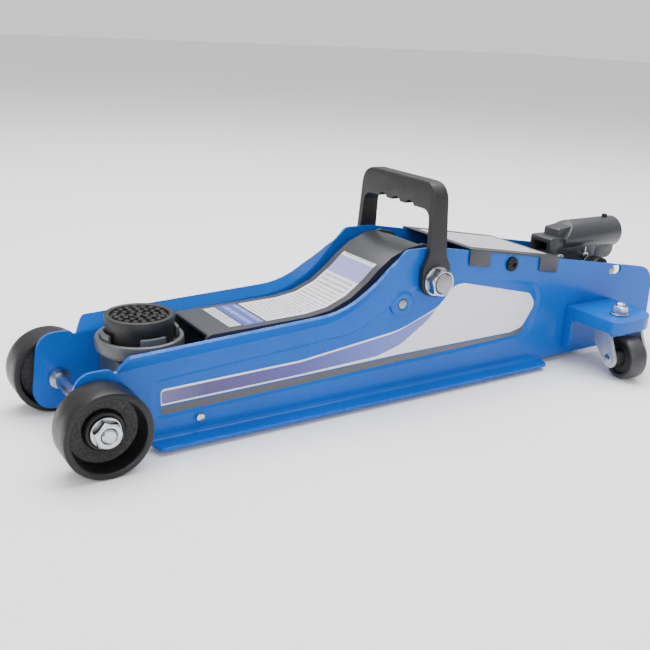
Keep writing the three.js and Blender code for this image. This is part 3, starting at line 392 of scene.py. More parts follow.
def side_plate(side, name):
    """One pressed side: rows of points from the flange's edge down to the foot's edge."""
    first = min(p.x for p in PLATE_EDGE)
    last = max(p.x for p in PLATE_EDGE)
    ends = 0.5 - 0.5 * np.cos(np.linspace(0, math.pi / 2, 30))
    xs = np.unique(np.concatenate([first + 0.02 + ends * 40, last - 0.02 - ends * 40,
                                   np.arange(first + 20, last - 20, GRID_STEP)]))
    bottom, top = edge_heights(PLATE_EDGE, xs)
    slope = np.gradient(top, xs)
    lean_x = -slope / np.hypot(1, slope)
    lean_z = 1 / np.hypot(1, slope)
    start, end = eased(xs, 13, 24), 1 - eased(xs, 212, 250)
    wide = np.interp(xs, [16, 205, 250], [13, 9, 8.4]) * start * end + 0.1
    foot = FOOT_WIDTH * eased(xs, 35.5, 41) * (1 - eased(xs, 405.5, 413)) + 0.1
    rows = []
    tilt = math.radians(FLANGE_LEAN)
    bend = FLANGE_BEND
    fade = np.minimum(wide / 3, 1)
    bent = eased(wide, 0.3, 3)
    for reach in (1, 0.8, 0.6, 0.4, 0.2):
        flat = np.maximum(wide - bend * tilt, 0.05) * reach
        out = bend * (1 - math.cos(tilt)) + flat * math.sin(tilt)
        rise = bend * math.sin(tilt) + flat * math.cos(tilt)
        rows.append((xs + lean_x * rise * fade, out * fade * bent, top + lean_z * rise * fade))
    for angle in np.linspace(tilt, 0, 5):
        out, rise = bend * (1 - math.cos(angle)), bend * math.sin(angle)
        rows.append((xs + lean_x * rise * fade, out * fade * bent, top + lean_z * rise * fade))
    fade = np.minimum(foot / 4, 1)
    bent = eased(foot, 0.3, 3)
    hem = 0.03 * (1 - bent)
    for v in np.linspace(0, 1, GRID_ROWS)[1:]:
        z = top + (bottom + FOOT_BEND * fade + 8 * hem - top) * v
        sunk = PANEL_DEPTH * eased(depth_inside(xs, z, PANEL), -1.8, 0.2)
        rows.append((xs, -sunk, z))
    for k, angle in enumerate(np.linspace(0, math.pi / 2, 6)[1:]):
        out, drop = FOOT_BEND * (1 - math.cos(angle)), FOOT_BEND * math.sin(angle)
        rows.append((xs, out * fade * bent,
                     bottom + (FOOT_BEND - drop) * fade + hem * (7 - k)))
    for k, reach in enumerate((0.33, 0.66, 1)):
        flat = np.maximum(foot - FOOT_BEND, 0.03) * reach
        rows.append((xs, (FOOT_BEND * fade + flat) * bent, bottom + hem * (2 - k)))
    vertices = [point(x, side * (FACE + out), z) for row in rows for x, out, z in zip(*row)]
    wide_count = len(xs)
    faces = []
    for r in range(len(rows) - 1):
        for c in range(wide_count - 1):
            a = r * wide_count + c
            face = (a, a + 1, a + wide_count + 1, a + wide_count)
            faces.append(face if side < 0 else face[::-1])
    mesh = bpy.data.meshes.new(name)
    mesh.from_pydata([tuple(v) for v in vertices], [], faces)
    plate = bpy.data.objects.new(name, mesh)
    bpy.context.scene.collection.objects.link(plate)
    mesh.materials.append(blue_enamel)
    mesh.shade_smooth()
    thick = plate.modifiers.new("sheet", "SOLIDIFY")
    thick.thickness, thick.offset = SHEET * MM, 1
    slot = outline([(489.4, 76.2, 4.2), (506, 76.2, 4.2), (506, 84.8, 4.2), (489.4, 84.8, 4.2)])
    cutter = prism("slot_" + name, slot, side * 30, side * 60)
    cutter.hide_render = True
    opening = plate.modifiers.new("trunnion_slot", "BOOLEAN")
    opening.object, opening.solver = cutter, "EXACT"
    soft = plate.modifiers.new("pressed_edge", "BEVEL")
    soft.width, soft.segments, soft.limit_method = 0.5 * MM, 2, "ANGLE"
    soft.angle_limit = math.radians(50)
    settled(plate)
    bpy.data.objects.remove(cutter)
    plate.data.set_sharp_from_angle(angle=math.radians(40))
    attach(plate, "frame")
    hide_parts(name)


SIDES = ((-1, "left"), (1, "right"))
for side, hand in SIDES:
    side_plate(side, f"side_plate_{hand}")


# ---------------------------------------------------------------- turned and refined pieces
# The pressed ring round each link anchor is the first turned piece. Pieces whose CAD shape
# is right are taken over with their corners eased, as sheared and cast edges are.
def lathe(name, profile, centre, axis, material, body, segments=96, smooth=32):
    """A closed profile of (radius, distance along the axis) in mm, turned round the axis."""
    axis = Vector(axis).normalized()
    side = axis.orthogonal().normalized()
    other = axis.cross(side)
    vertices, rows = [], []
    for radius, along in profile:
        if radius <= 0:
            rows.append([len(vertices)] * segments)
            vertices.append(centre + axis * along * MM)
            continue
        rows.append(list(range(len(vertices), len(vertices) + segments)))
        for k in range(segments):
            a = 2 * math.pi * k / segments
            spoke = side * math.cos(a) + other * math.sin(a)
            vertices.append(centre + (spoke * radius + axis * along) * MM)
    faces = []
    for r in range(len(rows)):
        here, there = rows[r], rows[(r + 1) % len(rows)]
        for k in range(segments):
            j = (k + 1) % segments
            face = []
            for v in (here[k], here[j], there[j], there[k]):
                if v not in face:
                    face.append(v)
            if len(face) > 2:
                faces.append(face)
    return mesh_object(name, vertices, faces, material, body, smooth)


body_of = {n: o["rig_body"] for n, o in frame["nodes"].items()}


def refined(name, material, width=0.5, segments=2, angle=28, smooth=38):
    """A CAD piece with its corners eased and its round faces smooth."""
    mesh = frame["nodes"][name].data.copy()
    mesh.materials.clear()
    bm = bmesh.new()
    bm.from_mesh(mesh)
    bmesh.ops.remove_doubles(bm, verts=bm.verts, dist=0.02 * MM)
    bmesh.ops.dissolve_limit(bm, angle_limit=math.radians(0.5), verts=bm.verts, edges=bm.edges)
    bm.to_mesh(mesh)
    bm.free()
    for attribute in list(mesh.attributes):
        if attribute.name in ("sharp_face", "custom_normal"):
            mesh.attributes.remove(attribute)
    piece = dressed(name + "_finished", mesh, material, None, 180)
    eased_edge = piece.modifiers.new("eased_edge", "BEVEL")
    eased_edge.width, eased_edge.segments = width * MM, segments
    eased_edge.limit_method, eased_edge.angle_limit = "ANGLE", math.radians(angle)
    eased_edge.use_clamp_overlap = True
    settled(piece)
    piece.data.shade_smooth()
    piece.data.set_sharp_from_angle(angle=math.radians(smooth))
    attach(piece, body_of[name])
    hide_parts(name)


LINK_ANCHOR_X, LINK_ANCHOR_Z = 248, 79
for side, hand in SIDES:
    lathe(f"anchor_ring_{hand}", [(4.4, -0.5), (4.4, 0.7), (5.4, 1.15), (7.6, 1.2), (9.6, 0.8),
        (10.6, 0.1), (10.6, -0.5)], point(LINK_ANCHOR_X, side * FACE, LINK_ANCHOR_Z),
        (0, side, 0), blue_enamel, "frame")
for hand in ("left", "right"):
    refined(f"castor_bracket_{hand}", blue_enamel, width=1.1, segments=4)
for name in ("unit_base_plate", "rear_tie_rod"):
    refined(name, blue_enamel)


# ---------------------------------------------------------------- side decals
# A printed film in each sunk panel: a white-edged stripe that fades from violet to blue, a
# blank pale field behind it and a dark band along its foot. The real lettering is left out.
PRINT_LENGTH, PRINT_HEIGHT = 400, 100
FILM_FACE = FACE - PANEL_DEPTH + 0.12


def film(name, line, side, material, lift=0.0):
    """A thin printed film that lies in the panel, with its place along the jack as UV."""
    face = FILM_FACE + lift
    vertices = [point(p.x, side * (face - 0.1), p.y) for p in line]
    vertices += [point(p.x, side * face, p.y) for p in line]
    sheet = mesh_object(name, vertices, slab_faces(len(line)), material, "frame")
    uv = sheet.data.uv_layers.new(name="print")
    for loop in sheet.data.loops:
        place = sheet.data.vertices[loop.vertex_index].co
        uv.data[loop.index].uv = ((place.x - axle_x) / MM / PRINT_LENGTH,
                                  place.z / MM / PRINT_HEIGHT)


def recoloured(material, colour):
    """The finish takes its colour from a socket, through its uneven tone."""
    tree = material.node_tree
    tone = next(n for n in tree.nodes if n.type == "GROUP" and n.node_tree == mottle)
    tree.links.new(colour, tone.inputs["Color"])
    return material


def printed(name, stops):
    """Print that changes along the jack, from (share of the print's length, colour) stops."""
    material = coat(name, (1, 1, 1, 1), 0.22, depth=0.03, size=30, grain_size=500,
        grain_height=0.03, Coat_Weight=0.5, Coat_Roughness=0.1)
    tree = material.node_tree
    uv = node(tree, "ShaderNodeUVMap", uv_map="print")
    parts = node(tree, "ShaderNodeSeparateXYZ", {"Vector": uv.outputs[0]})
    ramp = node(tree, "ShaderNodeValToRGB", {"Fac": parts.outputs["X"]})
    ramp.color_ramp.elements[0].position, ramp.color_ramp.elements[0].color = stops[0]
    ramp.color_ramp.elements[1].position, ramp.color_ramp.elements[1].color = stops[-1]
    for place, colour in stops[1:-1]:
        ramp.color_ramp.elements.new(place).color = colour
    return recoloured(material, ramp.outputs["Color"])


film_white = printed("white_film", [(0, linear(232, 232, 240)), (1, linear(226, 226, 230))])
film_grey = printed("dark_band_film", [(0, linear(44, 42, 50)), (1, linear(72, 70, 76))])
film_stripe = printed("violet_blue_film", [(0.1, linear(96, 92, 140)), (0.2, linear(54, 40, 108)),
    (0.38, linear(58, 52, 140)), (0.55, linear(80, 96, 184)), (0.75, linear(112, 120, 190))])
for side, hand in SIDES:
    film(f"decal_field_{hand}", outline([(46, 31), (46, 43, 3), (157, 46, 60), (249, 57, 80),
        (286, 71, 20), (302, 87.5, 10), (312, 88.5, 6), (390, 70.5, 8), (398, 60, 8),
        (385, 40, 10), (372, 37, 4), (251, 36, 60), (157, 33.5, 60)]), side, film_white)
    film(f"decal_stripe_{hand}", outline([(46.5, 32.2), (46.5, 41.5, 2),
        (157, 44.5, 60), (245, 55, 60), (284, 69.2, 30), (298.5, 83.5, 3), (276, 61, 40),
        (250, 44, 40), (228, 38, 10), (157, 34.8, 40)]), side, film_stripe, lift=0.12)
    film(f"decal_band_{hand}", outline([(46.5, 24.2), (46, 29.8, 1), (157, 32.6, 60),
        (251, 35, 60), (372, 36, 6), (387, 40, 6), (386.5, 36, 8), (376, 33.4, 10),
        (251, 29.8, 60), (157, 27, 60)]), side, film_grey)


# ---------------------------------------------------------------- front wheels
# Cast iron wheels with a turned black tread, a cone down to a rough web and a raised hub, on
# a zinc axle rod with a flanged nut. They run free on the axle.
black_iron = coat("black_iron", linear(17, 17, 19), 0.38, depth=0.3, size=60, grain_size=420,
    grain_height=0.35, wear_and_highlight=linear(120, 120, 120), wear_and_highlight_amount=0.35, Specular_IOR_Level=0.38)
rough_web = coat("rough_cast_web", linear(58, 58, 60), 0.6, depth=0.85, size=520,
    grain_size=1100, grain_height=1.0, Specular_IOR_Level=0.6)
bright_zinc = coat("bright_zinc", linear(196, 198, 202), 0.22, depth=0.16, size=90,
    grain_size=300, grain_height=0.05, wear_and_highlight=linear(120, 120, 122), wear_and_highlight_amount=0.25, Metallic=1)
plain_steel = coat("plain_steel", linear(150, 152, 156), 0.34, depth=0.25, size=110,
    grain_size=380, grain_height=0.15, wear_and_highlight=linear(90, 90, 92), wear_and_highlight_amount=0.3, Metallic=1)
WHEEL_INNER, WHEEL_OUTER, TREAD, RIM, HUB = 46.2, 72.2, 30, 25, 14
AXLE_HEIGHT = 30
HUB_FACE = WHEEL_OUTER - 9.5


def hex_nut(name, across, inner, start, end, centre, axis, material, body, chamfer=0.9):
    """A bored hexagon nut with its corners turned off at both faces."""
    axis = Vector(axis).normalized()
    side = axis.orthogonal().normalized()
    other = axis.cross(side)
    corner = across / math.sqrt(3)
    steps = 8
    vertices, faces, rings = [], [], []

    def ring(radius_at, along_at):
        ids = []
        for k in range(6 * steps):
            a = 2 * math.pi * k / (6 * steps)
            radius = radius_at(a)
            spot = side * math.cos(a) * radius + other * math.sin(a) * radius
            ids.append(len(vertices))
            vertices.append(centre + (spot + axis * along_at(a)) * MM)
        rings.append(ids)

    def hexed(a):
        return across / 2 / math.cos((a % (math.pi / 3)) - math.pi / 6)

    def cone(a):
        return max(0, hexed(a) - across / 2) / (corner - across / 2) * chamfer

    thread = min(inner + 0.6, across / 2 - 0.6)
    ring(lambda a: inner, lambda a: start + 0.5)
    ring(lambda a: thread, lambda a: start)
    ring(lambda a: across / 2 - 0.3, lambda a: start)
    ring(hexed, lambda a: start + 0.15 + cone(a))
    ring(hexed, lambda a: end - 0.15 - cone(a))
    ring(lambda a: across / 2 - 0.3, lambda a: end)
    ring(lambda a: thread, lambda a: end)
    ring(lambda a: inner, lambda a: end - 0.5)
    for r in range(len(rings)):
        here, there = rings[r], rings[(r + 1) % len(rings)]
        for k in range(6 * steps):
            j = (k + 1) % (6 * steps)
            faces.append((here[k], here[j], there[j], there[k]))
    return mesh_object(name, vertices, faces, material, body, 28)


def bolt_end(name, radius, start, end, centre, axis, material, body):
    """A threaded rod end: crest and root rings with a chamfered, slightly domed tip."""
    profile = [(0, start), (radius - 0.5, start)]
    along = start + 0.4
    while along < end - 1.6:
        profile += [(radius - 0.55, along), (radius, along + 0.55)]
        along += 1.1
    profile += [(radius, end - 1.2), (radius - 1.1, end - 0.25), (radius * 0.4, end), (0, end)]
    return lathe(name, profile, centre, axis, material, body, smooth=24)


for side, hand in SIDES:
    centre, axis = point(0, 0, AXLE_HEIGHT), (0, side, 0)
    body = f"front_wheel_{hand}"
    tread = lathe(f"wheel_rim_{hand}", [(RIM - 1.5, WHEEL_INNER + 7.5), (RIM, WHEEL_INNER + 1),
        (RIM + 0.8, WHEEL_INNER), (TREAD - 1.6, WHEEL_INNER), (TREAD - 0.4, WHEEL_INNER + 0.5),
        (TREAD, WHEEL_INNER + 1.7), (TREAD, WHEEL_INNER + 9), (TREAD, WHEEL_OUTER - 9),
        (TREAD, WHEEL_OUTER - 1.8), (TREAD - 0.4, WHEEL_OUTER - 0.6),
        (TREAD - 1.5, WHEEL_OUTER), (RIM + 1.2, WHEEL_OUTER), (RIM + 0.3, WHEEL_OUTER - 0.7),
        (RIM - 0.2, WHEEL_OUTER - 3), (RIM - 1.3, WHEEL_INNER + 12.2),
        (RIM - 1.4, WHEEL_INNER + 9)], centre, axis, black_iron, body, segments=128)
    lathe(f"wheel_web_{hand}", [(HUB - 1, WHEEL_INNER + 7.2), (RIM - 1.45, WHEEL_INNER + 7.6),
        (RIM - 1.45, WHEEL_INNER + 12), (RIM - 3, WHEEL_INNER + 11.2),
        (HUB + 3, WHEEL_INNER + 11), (HUB + 1, WHEEL_INNER + 11.6), (HUB - 1, WHEEL_INNER + 12)],
        centre, axis, rough_web, body, segments=128)
    lathe(f"wheel_hub_{hand}", [(5.4, WHEEL_INNER), (HUB - 2, WHEEL_INNER),
        (HUB - 1, WHEEL_INNER + 1), (HUB - 0.2, WHEEL_INNER + 7), (HUB + 0.4, WHEEL_INNER + 12),
        (HUB - 0.2, HUB_FACE - 1), (HUB - 1.2, HUB_FACE), (11.4, HUB_FACE),
        (11, HUB_FACE - 0.5), (5.4, HUB_FACE - 0.5)], centre, axis, black_iron, body)
    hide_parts(body)
    lathe(f"wheel_washer_{hand}", [(5.3, HUB_FACE + 0.3), (10.2, HUB_FACE + 0.3),
        (10.5, HUB_FACE + 0.7), (10.3, HUB_FACE + 1.5), (8.2, HUB_FACE + 2), (5.3, HUB_FACE + 2)],
        centre, axis, bright_zinc, "frame")
    nut = hex_nut(f"wheel_nut_{hand}_finished", 17, 5.3, HUB_FACE + 1.9, HUB_FACE + 8,
        centre, axis, bright_zinc, "frame")
    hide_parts(f"wheel_nut_{hand}")
    bolt_end(f"axle_end_{hand}", 5, HUB_FACE - 3, HUB_FACE + 9.2, centre, axis, bright_zinc,
        "frame")
AXLE_ROD = HUB_FACE - 3
rod = lathe("axle_rod", [(0, -AXLE_ROD), (5, -AXLE_ROD), (5, -41.2), (7.5, -41.2), (7.5, -36),
    (5, -35.5), (5, 35.5), (7.5, 36), (7.5, 41.2), (5, 41.2), (5, AXLE_ROD), (0, AXLE_ROD)],
    point(0, 0, AXLE_HEIGHT), (0, 1, 0), bright_zinc, "frame")
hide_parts("front_axle")
refined("front_tie_rod", bright_zinc, width=0.5)


# ---------------------------------------------------------------- castors
# Zinc plated forks pressed from 2.4 mm sheet, turning on a stud and lock nut through the
# bracket. The wheel is hard black plastic with a softer grey-black tread.
# The near-white edge colour is a painted highlight on the fork's pressed edges.
fork_zinc = coat("satin_fork_zinc", linear(196, 198, 202), 0.42, depth=0.14, size=120,
    grain_size=260, grain_height=0.04, wear_and_highlight=linear(235, 236, 238), wear_and_highlight_amount=0.6, Metallic=0.8)
tread_grey = coat("castor_tread", linear(52, 52, 55), 0.42, depth=0.3, size=80,
    grain_size=700, grain_height=0.15, wear_and_highlight=linear(90, 90, 92), wear_and_highlight_amount=0.3)
black_rubber = coat("black_rubber", linear(20, 20, 22), 0.5, depth=0.25, size=70,
    grain_size=900, grain_height=0.25, wear_and_highlight=linear(80, 80, 82), wear_and_highlight_amount=0.3)
low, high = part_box("castor_stud_left")
STUD_X = ((low.x + high.x) / 2 - axle_x) / MM
STUD_Y, STUD_TOP = -(low.y + high.y) / 2 / MM, high.z / MM
CASTOR_TURN = math.radians(11.4)
CASTOR_RADIUS, CASTOR_TRAIL, CASTOR_HALF = 19, 17, 8.5
TREAD_FOOT = 16.6
PLATFORM = 53.5
for side, hand in SIDES:
    refined(f"castor_fork_{hand}", fork_zinc, width=0.8, segments=3, angle=35)
    refined(f"castor_axle_{hand}", bright_zinc, width=0.7, segments=3)
    out = Vector((-math.sin(CASTOR_TURN), side * math.cos(CASTOR_TURN), 0))
    axis = Vector((math.cos(CASTOR_TURN), side * math.sin(CASTOR_TURN), 0))
    hub = point(STUD_X, side * STUD_Y, CASTOR_RADIUS) + out * CASTOR_TRAIL * MM
    body = f"castor_wheel_{hand}"
    half = CASTOR_HALF
    profile = [(3.4, -half - 6.4), (6.4, -half - 6.4), (7, -half - 5.8), (8, -half + 2)]
    rim = [(9.4, -half + 2.6), (13, -half + 2.6), (14, -half + 1.4), (14.6, -half + 0.2),
           (15.6, -half), (16.4, -half + 0.2), (TREAD_FOOT, -half + 0.9)]
    turned_face = profile + rim + [(TREAD_FOOT, 0)]
    other_face = [(r, -a) for r, a in reversed(turned_face[:-1])]
    wheel = lathe(f"{body}_finished", turned_face + other_face, hub, axis, black_rubber, body)
    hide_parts(body)
    lathe(f"castor_tread_{hand}", [(16.4, -half + 0.5), (17.4, -half + 0.3),
        (18.4, -half + 1.2), (18.8, -half + 2.4), (CASTOR_RADIUS, 0), (18.8, half - 2.4),
        (18.4, half - 1.2), (17.4, half - 0.3), (16.4, half - 0.5)], hub, axis, tread_grey, body)
    seat, upwards = point(STUD_X, side * STUD_Y, 0), (0, 0, 1)
    lathe(f"castor_flange_{hand}", [(4.2, PLATFORM + 0.3), (8.2, PLATFORM + 0.3),
        (8.4, PLATFORM + 0.9), (6.6, PLATFORM + 1.7), (4.2, PLATFORM + 1.8)], seat, upwards,
        bright_zinc, "frame")
    hex_nut(f"castor_nut_{hand}", 12.6, 4.1, PLATFORM + 1.7, PLATFORM + 7.9, seat, upwards,
        bright_zinc, "frame", 0.7)
    stud = bolt_end(f"castor_stud_{hand}_finished", 4, 38.5, STUD_TOP, seat, upwards,
        bright_zinc, "frame")
    lathe(f"castor_rivet_{hand}", [(0, 38.2), (6, 38.2), (6.5, 38.9), (6.4, 39.6), (0, 39.6)],
        seat, upwards, bright_zinc, "frame")
    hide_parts(f"castor_stud_{hand}")


# ---------------------------------------------------------------- lift arm and its labels
# A long channel folded from 3 mm sheet in satin dark grey, with a round tube welded in at the
# pivot. Blank generic labels follow its top: pale print, a violet band, a small patch.
grey_enamel = coat("grey_enamel", linear(52, 53, 58), 0.34, depth=0.18, size=34,
    grain_size=380, grain_height=0.12, wear_and_highlight=linear(150, 151, 155), wear_and_highlight_amount=0.45,
    wear_and_highlight_width=0.0006, Specular_IOR_Level=0.4, Coat_Weight=0.15, Coat_Roughness=0.25)
refined("lift_arm", grey_enamel, width=2.4, segments=5, angle=32)
for name in ("crank_pin", "head_pin", "crank_roller", "arm_pivot_shaft"):
    refined(name, plain_steel, width=0.9, segments=3)


def label_paper(name, ground, print_colour, lines, band=None):
    """Label film: rows of broken grey print that spell nothing, and a coloured band."""
    material = coat(name, ground, 0.3, depth=0.05, size=25, grain_size=700, grain_height=0.04)
    tree = material.node_tree
    uv = node(tree, "ShaderNodeUVMap", uv_map="print")
    parts = node(tree, "ShaderNodeSeparateXYZ", {"Vector": uv.outputs[0]})
    row = node(tree, "ShaderNodeMath", {0: parts.outputs["X"], 1: lines}, operation="MULTIPLY")
    phase = node(tree, "ShaderNodeMath", {0: row.outputs[0]}, operation="FRACT")
    inked = node(tree, "ShaderNodeMath", {0: phase.outputs[0], 1: 0.52}, operation="GREATER_THAN")
    number = node(tree, "ShaderNodeMath", {0: row.outputs[0]}, operation="FLOOR")
    stretched = node(tree, "ShaderNodeCombineXYZ", {"X": number.outputs[0]})
    along = node(tree, "ShaderNodeMath", {0: parts.outputs["Y"], 1: 34.0}, operation="MULTIPLY")
    tree.links.new(along.outputs[0], stretched.inputs["Y"])
    gaps = node(tree, "ShaderNodeTexNoise", {"Vector": stretched.outputs[0], "Scale": 1.0,
        "Detail": 1.0})
    words = node(tree, "ShaderNodeMath", {0: gaps.outputs["Fac"], 1: 0.44},
        operation="GREATER_THAN")
    margin = node(tree, "ShaderNodeMath", {0: parts.outputs["Y"], 1: 0.5}, operation="SUBTRACT")
    from_middle = node(tree, "ShaderNodeMath", {0: margin.outputs[0]}, operation="ABSOLUTE")
    inside = node(tree, "ShaderNodeMath", {0: from_middle.outputs[0], 1: 0.43},
        operation="LESS_THAN")
    ink = node(tree, "ShaderNodeMath", {0: inked.outputs[0], 1: words.outputs[0]},
        operation="MULTIPLY")
    print_mask = node(tree, "ShaderNodeMath", {0: ink.outputs[0], 1: inside.outputs[0]},
        operation="MULTIPLY")
    soft = node(tree, "ShaderNodeMath", {0: print_mask.outputs[0], 1: 0.7}, operation="MULTIPLY")
    page = node(tree, "ShaderNodeMix", {"Factor": soft.outputs[0]}, data_type="RGBA")
    page.inputs[6].default_value, page.inputs[7].default_value = ground, print_colour
    colour = page.outputs[2]
    if band:
        low_edge = node(tree, "ShaderNodeMath", {0: parts.outputs["X"], 1: band[0]},
            operation="GREATER_THAN")
        high_edge = node(tree, "ShaderNodeMath", {0: parts.outputs["X"], 1: band[1]},
            operation="LESS_THAN")
        on = node(tree, "ShaderNodeMath", {0: low_edge.outputs[0], 1: high_edge.outputs[0]},
            operation="MULTIPLY")
        banded = node(tree, "ShaderNodeMix", {"Factor": on.outputs[0]}, data_type="RGBA")
        tree.links.new(colour, banded.inputs[6])
        banded.inputs[7].default_value = band[2]
        colour = banded.outputs[2]
    return recoloured(material, colour)


LABEL_OVER, LABEL_UNDER, LABEL_COLUMNS, ABOVE_ALL = 0.22, 0.08, 4, 200


def stuck_label(name, piece, x0, x1, y0, y1, material, body, steps=48):
    """A film laid on whatever surface of a piece faces up under it."""
    bm = bmesh.new()
    bm.from_mesh(frame["nodes"][piece].data)
    tree = BVHTree.FromBMesh(bm)
    bm.free()
    top, under = [], []
    wide = LABEL_COLUMNS
    for i in range(steps + 1):
        x = x0 + (x1 - x0) * i / steps
        for j in range(wide + 1):
            start = point(x, y0 + (y1 - y0) * j / wide, ABOVE_ALL)
            spot, normal, _, _ = tree.ray_cast(start, Vector((0, 0, -1)))
            top.append(spot + normal * LABEL_OVER * MM)
            under.append(spot + normal * LABEL_UNDER * MM)

    def number(i, j):
        return i * (wide + 1) + j

    faces = [(number(i, j), number(i + 1, j), number(i + 1, j + 1), number(i, j + 1))
             for i in range(steps) for j in range(wide)]
    count = len(top)
    faces += [tuple(v + count for v in reversed(f)) for f in list(faces)]
    rim = [number(i, 0) for i in range(steps + 1)]
    rim += [number(steps, j) for j in range(1, wide + 1)]
    rim += [number(i, wide) for i in range(steps - 1, -1, -1)]
    rim += [number(0, j) for j in range(wide - 1, 0, -1)]
    faces += [(rim[k], rim[k - 1], rim[k - 1] + count, rim[k] + count) for k in range(len(rim))]
    sheet = mesh_object(name, top + under, faces, material, body)
    uv = sheet.data.uv_layers.new(name="print")
    for loop in sheet.data.loops:
        i, j = divmod(loop.vertex_index % count, wide + 1)
        uv.data[loop.index].uv = (i / steps, j / wide)


arm_paper = label_paper("arm_label", linear(226, 226, 230), linear(120, 122, 132), 26.0,
    (0.83, 0.97, linear(150, 150, 205)))
patch_paper = label_paper("small_patch", linear(196, 196, 204), linear(130, 130, 142), 3.0)
band_paper = label_paper("violet_band", linear(66, 84, 160), linear(150, 160, 205), 2.0)
stuck_label("arm_label", "lift_arm", 138, 236, -23, 23, arm_paper, "lift_arm")
stuck_label("arm_band", "lift_arm", 119, 136, -25, 25, band_paper, "lift_arm", steps=12)
stuck_label("arm_patch", "lift_arm", 108, 118, -22, 24, patch_paper, "lift_arm", steps=8)


# ---------------------------------------------------------------- cover plate
# A folded grey lid over the hydraulic unit, held by two tabs a side and a black socket screw
# through each plate, with one pale blank label.
refined("cover_plate", grey_enamel, width=0.5, segments=3)
cover_paper = label_paper("cover_label", linear(208, 208, 214), linear(150, 150, 158), 20.0)
stuck_label("cover_label", "cover_plate", 322, 412, -36, 34, cover_paper, "frame", steps=20)
black_oxide = coat("black_oxide", linear(30, 30, 32), 0.34, depth=0.25, size=80,
    grain_size=420, grain_height=0.12, wear_and_highlight=linear(95, 95, 98), wear_and_highlight_amount=0.35, Metallic=0.6)
for name in ("cover_screw_left", "cover_screw_right", "reservoir_tube", "gland_nut",
             "pump_block", "socket_set_screw"):
    refined(name, black_oxide, width=0.6, segments=3)
refined("cover_tie_rod", plain_steel)


# ---------------------------------------------------------------- saddle head, saddle, pad
# A cast head carries a turned cup with four claws. The black rubber pad is pressed into the
# cup: a raised rim round a sunk face with rings of small square blocks.
refined("saddle_head", grey_enamel, width=1.2, segments=3)
refined("saddle_clip", bright_zinc, width=0.3)
refined("link_pin", plain_steel)
low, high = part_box("saddle")
CUP_X = ((low.x + high.x) / 2 - axle_x) / MM
CUP, CUP_TOP, CUP_FLOOR, PAD, PAD_TOP = 31.6, 70, 65, 24.6, 85
CLAWS, CLAW_SPREAD, CLAW_STEPS = 4, 20, 16
STAGGERED = 11.4        # the ring that is turned by half a step
BLOCK_RINGS = ((0, 1), (6, 6), (STAGGERED, 12), (17, 18))   # radius and number of blocks
cast_grey = coat("cast_grey_enamel", linear(72, 73, 76), 0.36, depth=0.25, size=60,
    grain_size=260, grain_height=0.5, wear_and_highlight=linear(150, 150, 152), wear_and_highlight_amount=0.55,
    wear_and_highlight_width=0.0009, Coat_Weight=0.3, Coat_Roughness=0.3)
centre = point(CUP_X, 0, 0)
cup = lathe("saddle_cup", [(0, 44), (7.6, 44), (8, 44.4), (8, 58), (CUP - 5, 58),
    (CUP - 2.4, 58.7), (CUP - 0.6, 60.4), (CUP, 62.5), (CUP, 67.5), (CUP - 0.5, 69.2),
    (CUP - 1.6, 70), (CUP - 3.1, 69.8), (CUP - 3.8, 69), (CUP - 4.1, 65.4), (0, CUP_FLOOR)],
    centre, (0, 0, 1), cast_grey, "saddle", segments=128)
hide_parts("saddle")
for k in range(CLAWS):
    middle, spread, steps = 2 * math.pi * k / CLAWS, math.radians(CLAW_SPREAD), CLAW_STEPS
    inner, outer = PAD + 0.5, PAD + 3.3
    vertices, faces = [], []
    for z in (CUP_FLOOR - 0.5, CUP_TOP + 4.3):
        for radius in (inner, outer):
            for i in range(steps + 1):
                a = middle - spread + 2 * spread * i / steps
                spot = Vector((radius * math.cos(a), radius * math.sin(a), z))
                vertices.append(centre + spot * MM)
    n = steps + 1
    for i in range(steps):
        for a, b in ((0, n), (n, 3 * n), (3 * n, 2 * n), (2 * n, 0)):
            faces.append((a + i, a + i + 1, b + i + 1, b + i))
    faces += [(0, n, 3 * n, 2 * n), (n - 1, 2 * n - 1, 4 * n - 1, 3 * n - 1)]
    claw = mesh_object(f"saddle_claw_{k}", vertices, faces, cast_grey, None, 180)
    soft = claw.modifiers.new("cast_corner", "BEVEL")
    soft.width, soft.segments, soft.limit_method = 0.8 * MM, 3, "ANGLE"
    settled(claw)
    claw.data.shade_smooth()
    claw.data.set_sharp_from_angle(angle=math.radians(40))
    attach(claw, "saddle")
pad = lathe("saddle_pad_body", [(0, CUP_FLOOR + 0.4), (PAD - 1, CUP_FLOOR + 0.4),
    (PAD - 0.6, CUP_FLOOR + 1), (PAD - 0.6, PAD_TOP - 9), (PAD, PAD_TOP - 7.4),
    (PAD, PAD_TOP - 1), (PAD - 0.3, PAD_TOP - 0.3), (PAD - 1, PAD_TOP), (PAD - 3, PAD_TOP),
    (PAD - 3.7, PAD_TOP - 0.4), (PAD - 4, PAD_TOP - 1.2), (PAD - 4.3, PAD_TOP - 2.6),
    (0, PAD_TOP - 2.6)], centre, (0, 0, 1), black_rubber, "saddle", segments=128)
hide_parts("saddle_pad")
vertices, faces = [], []
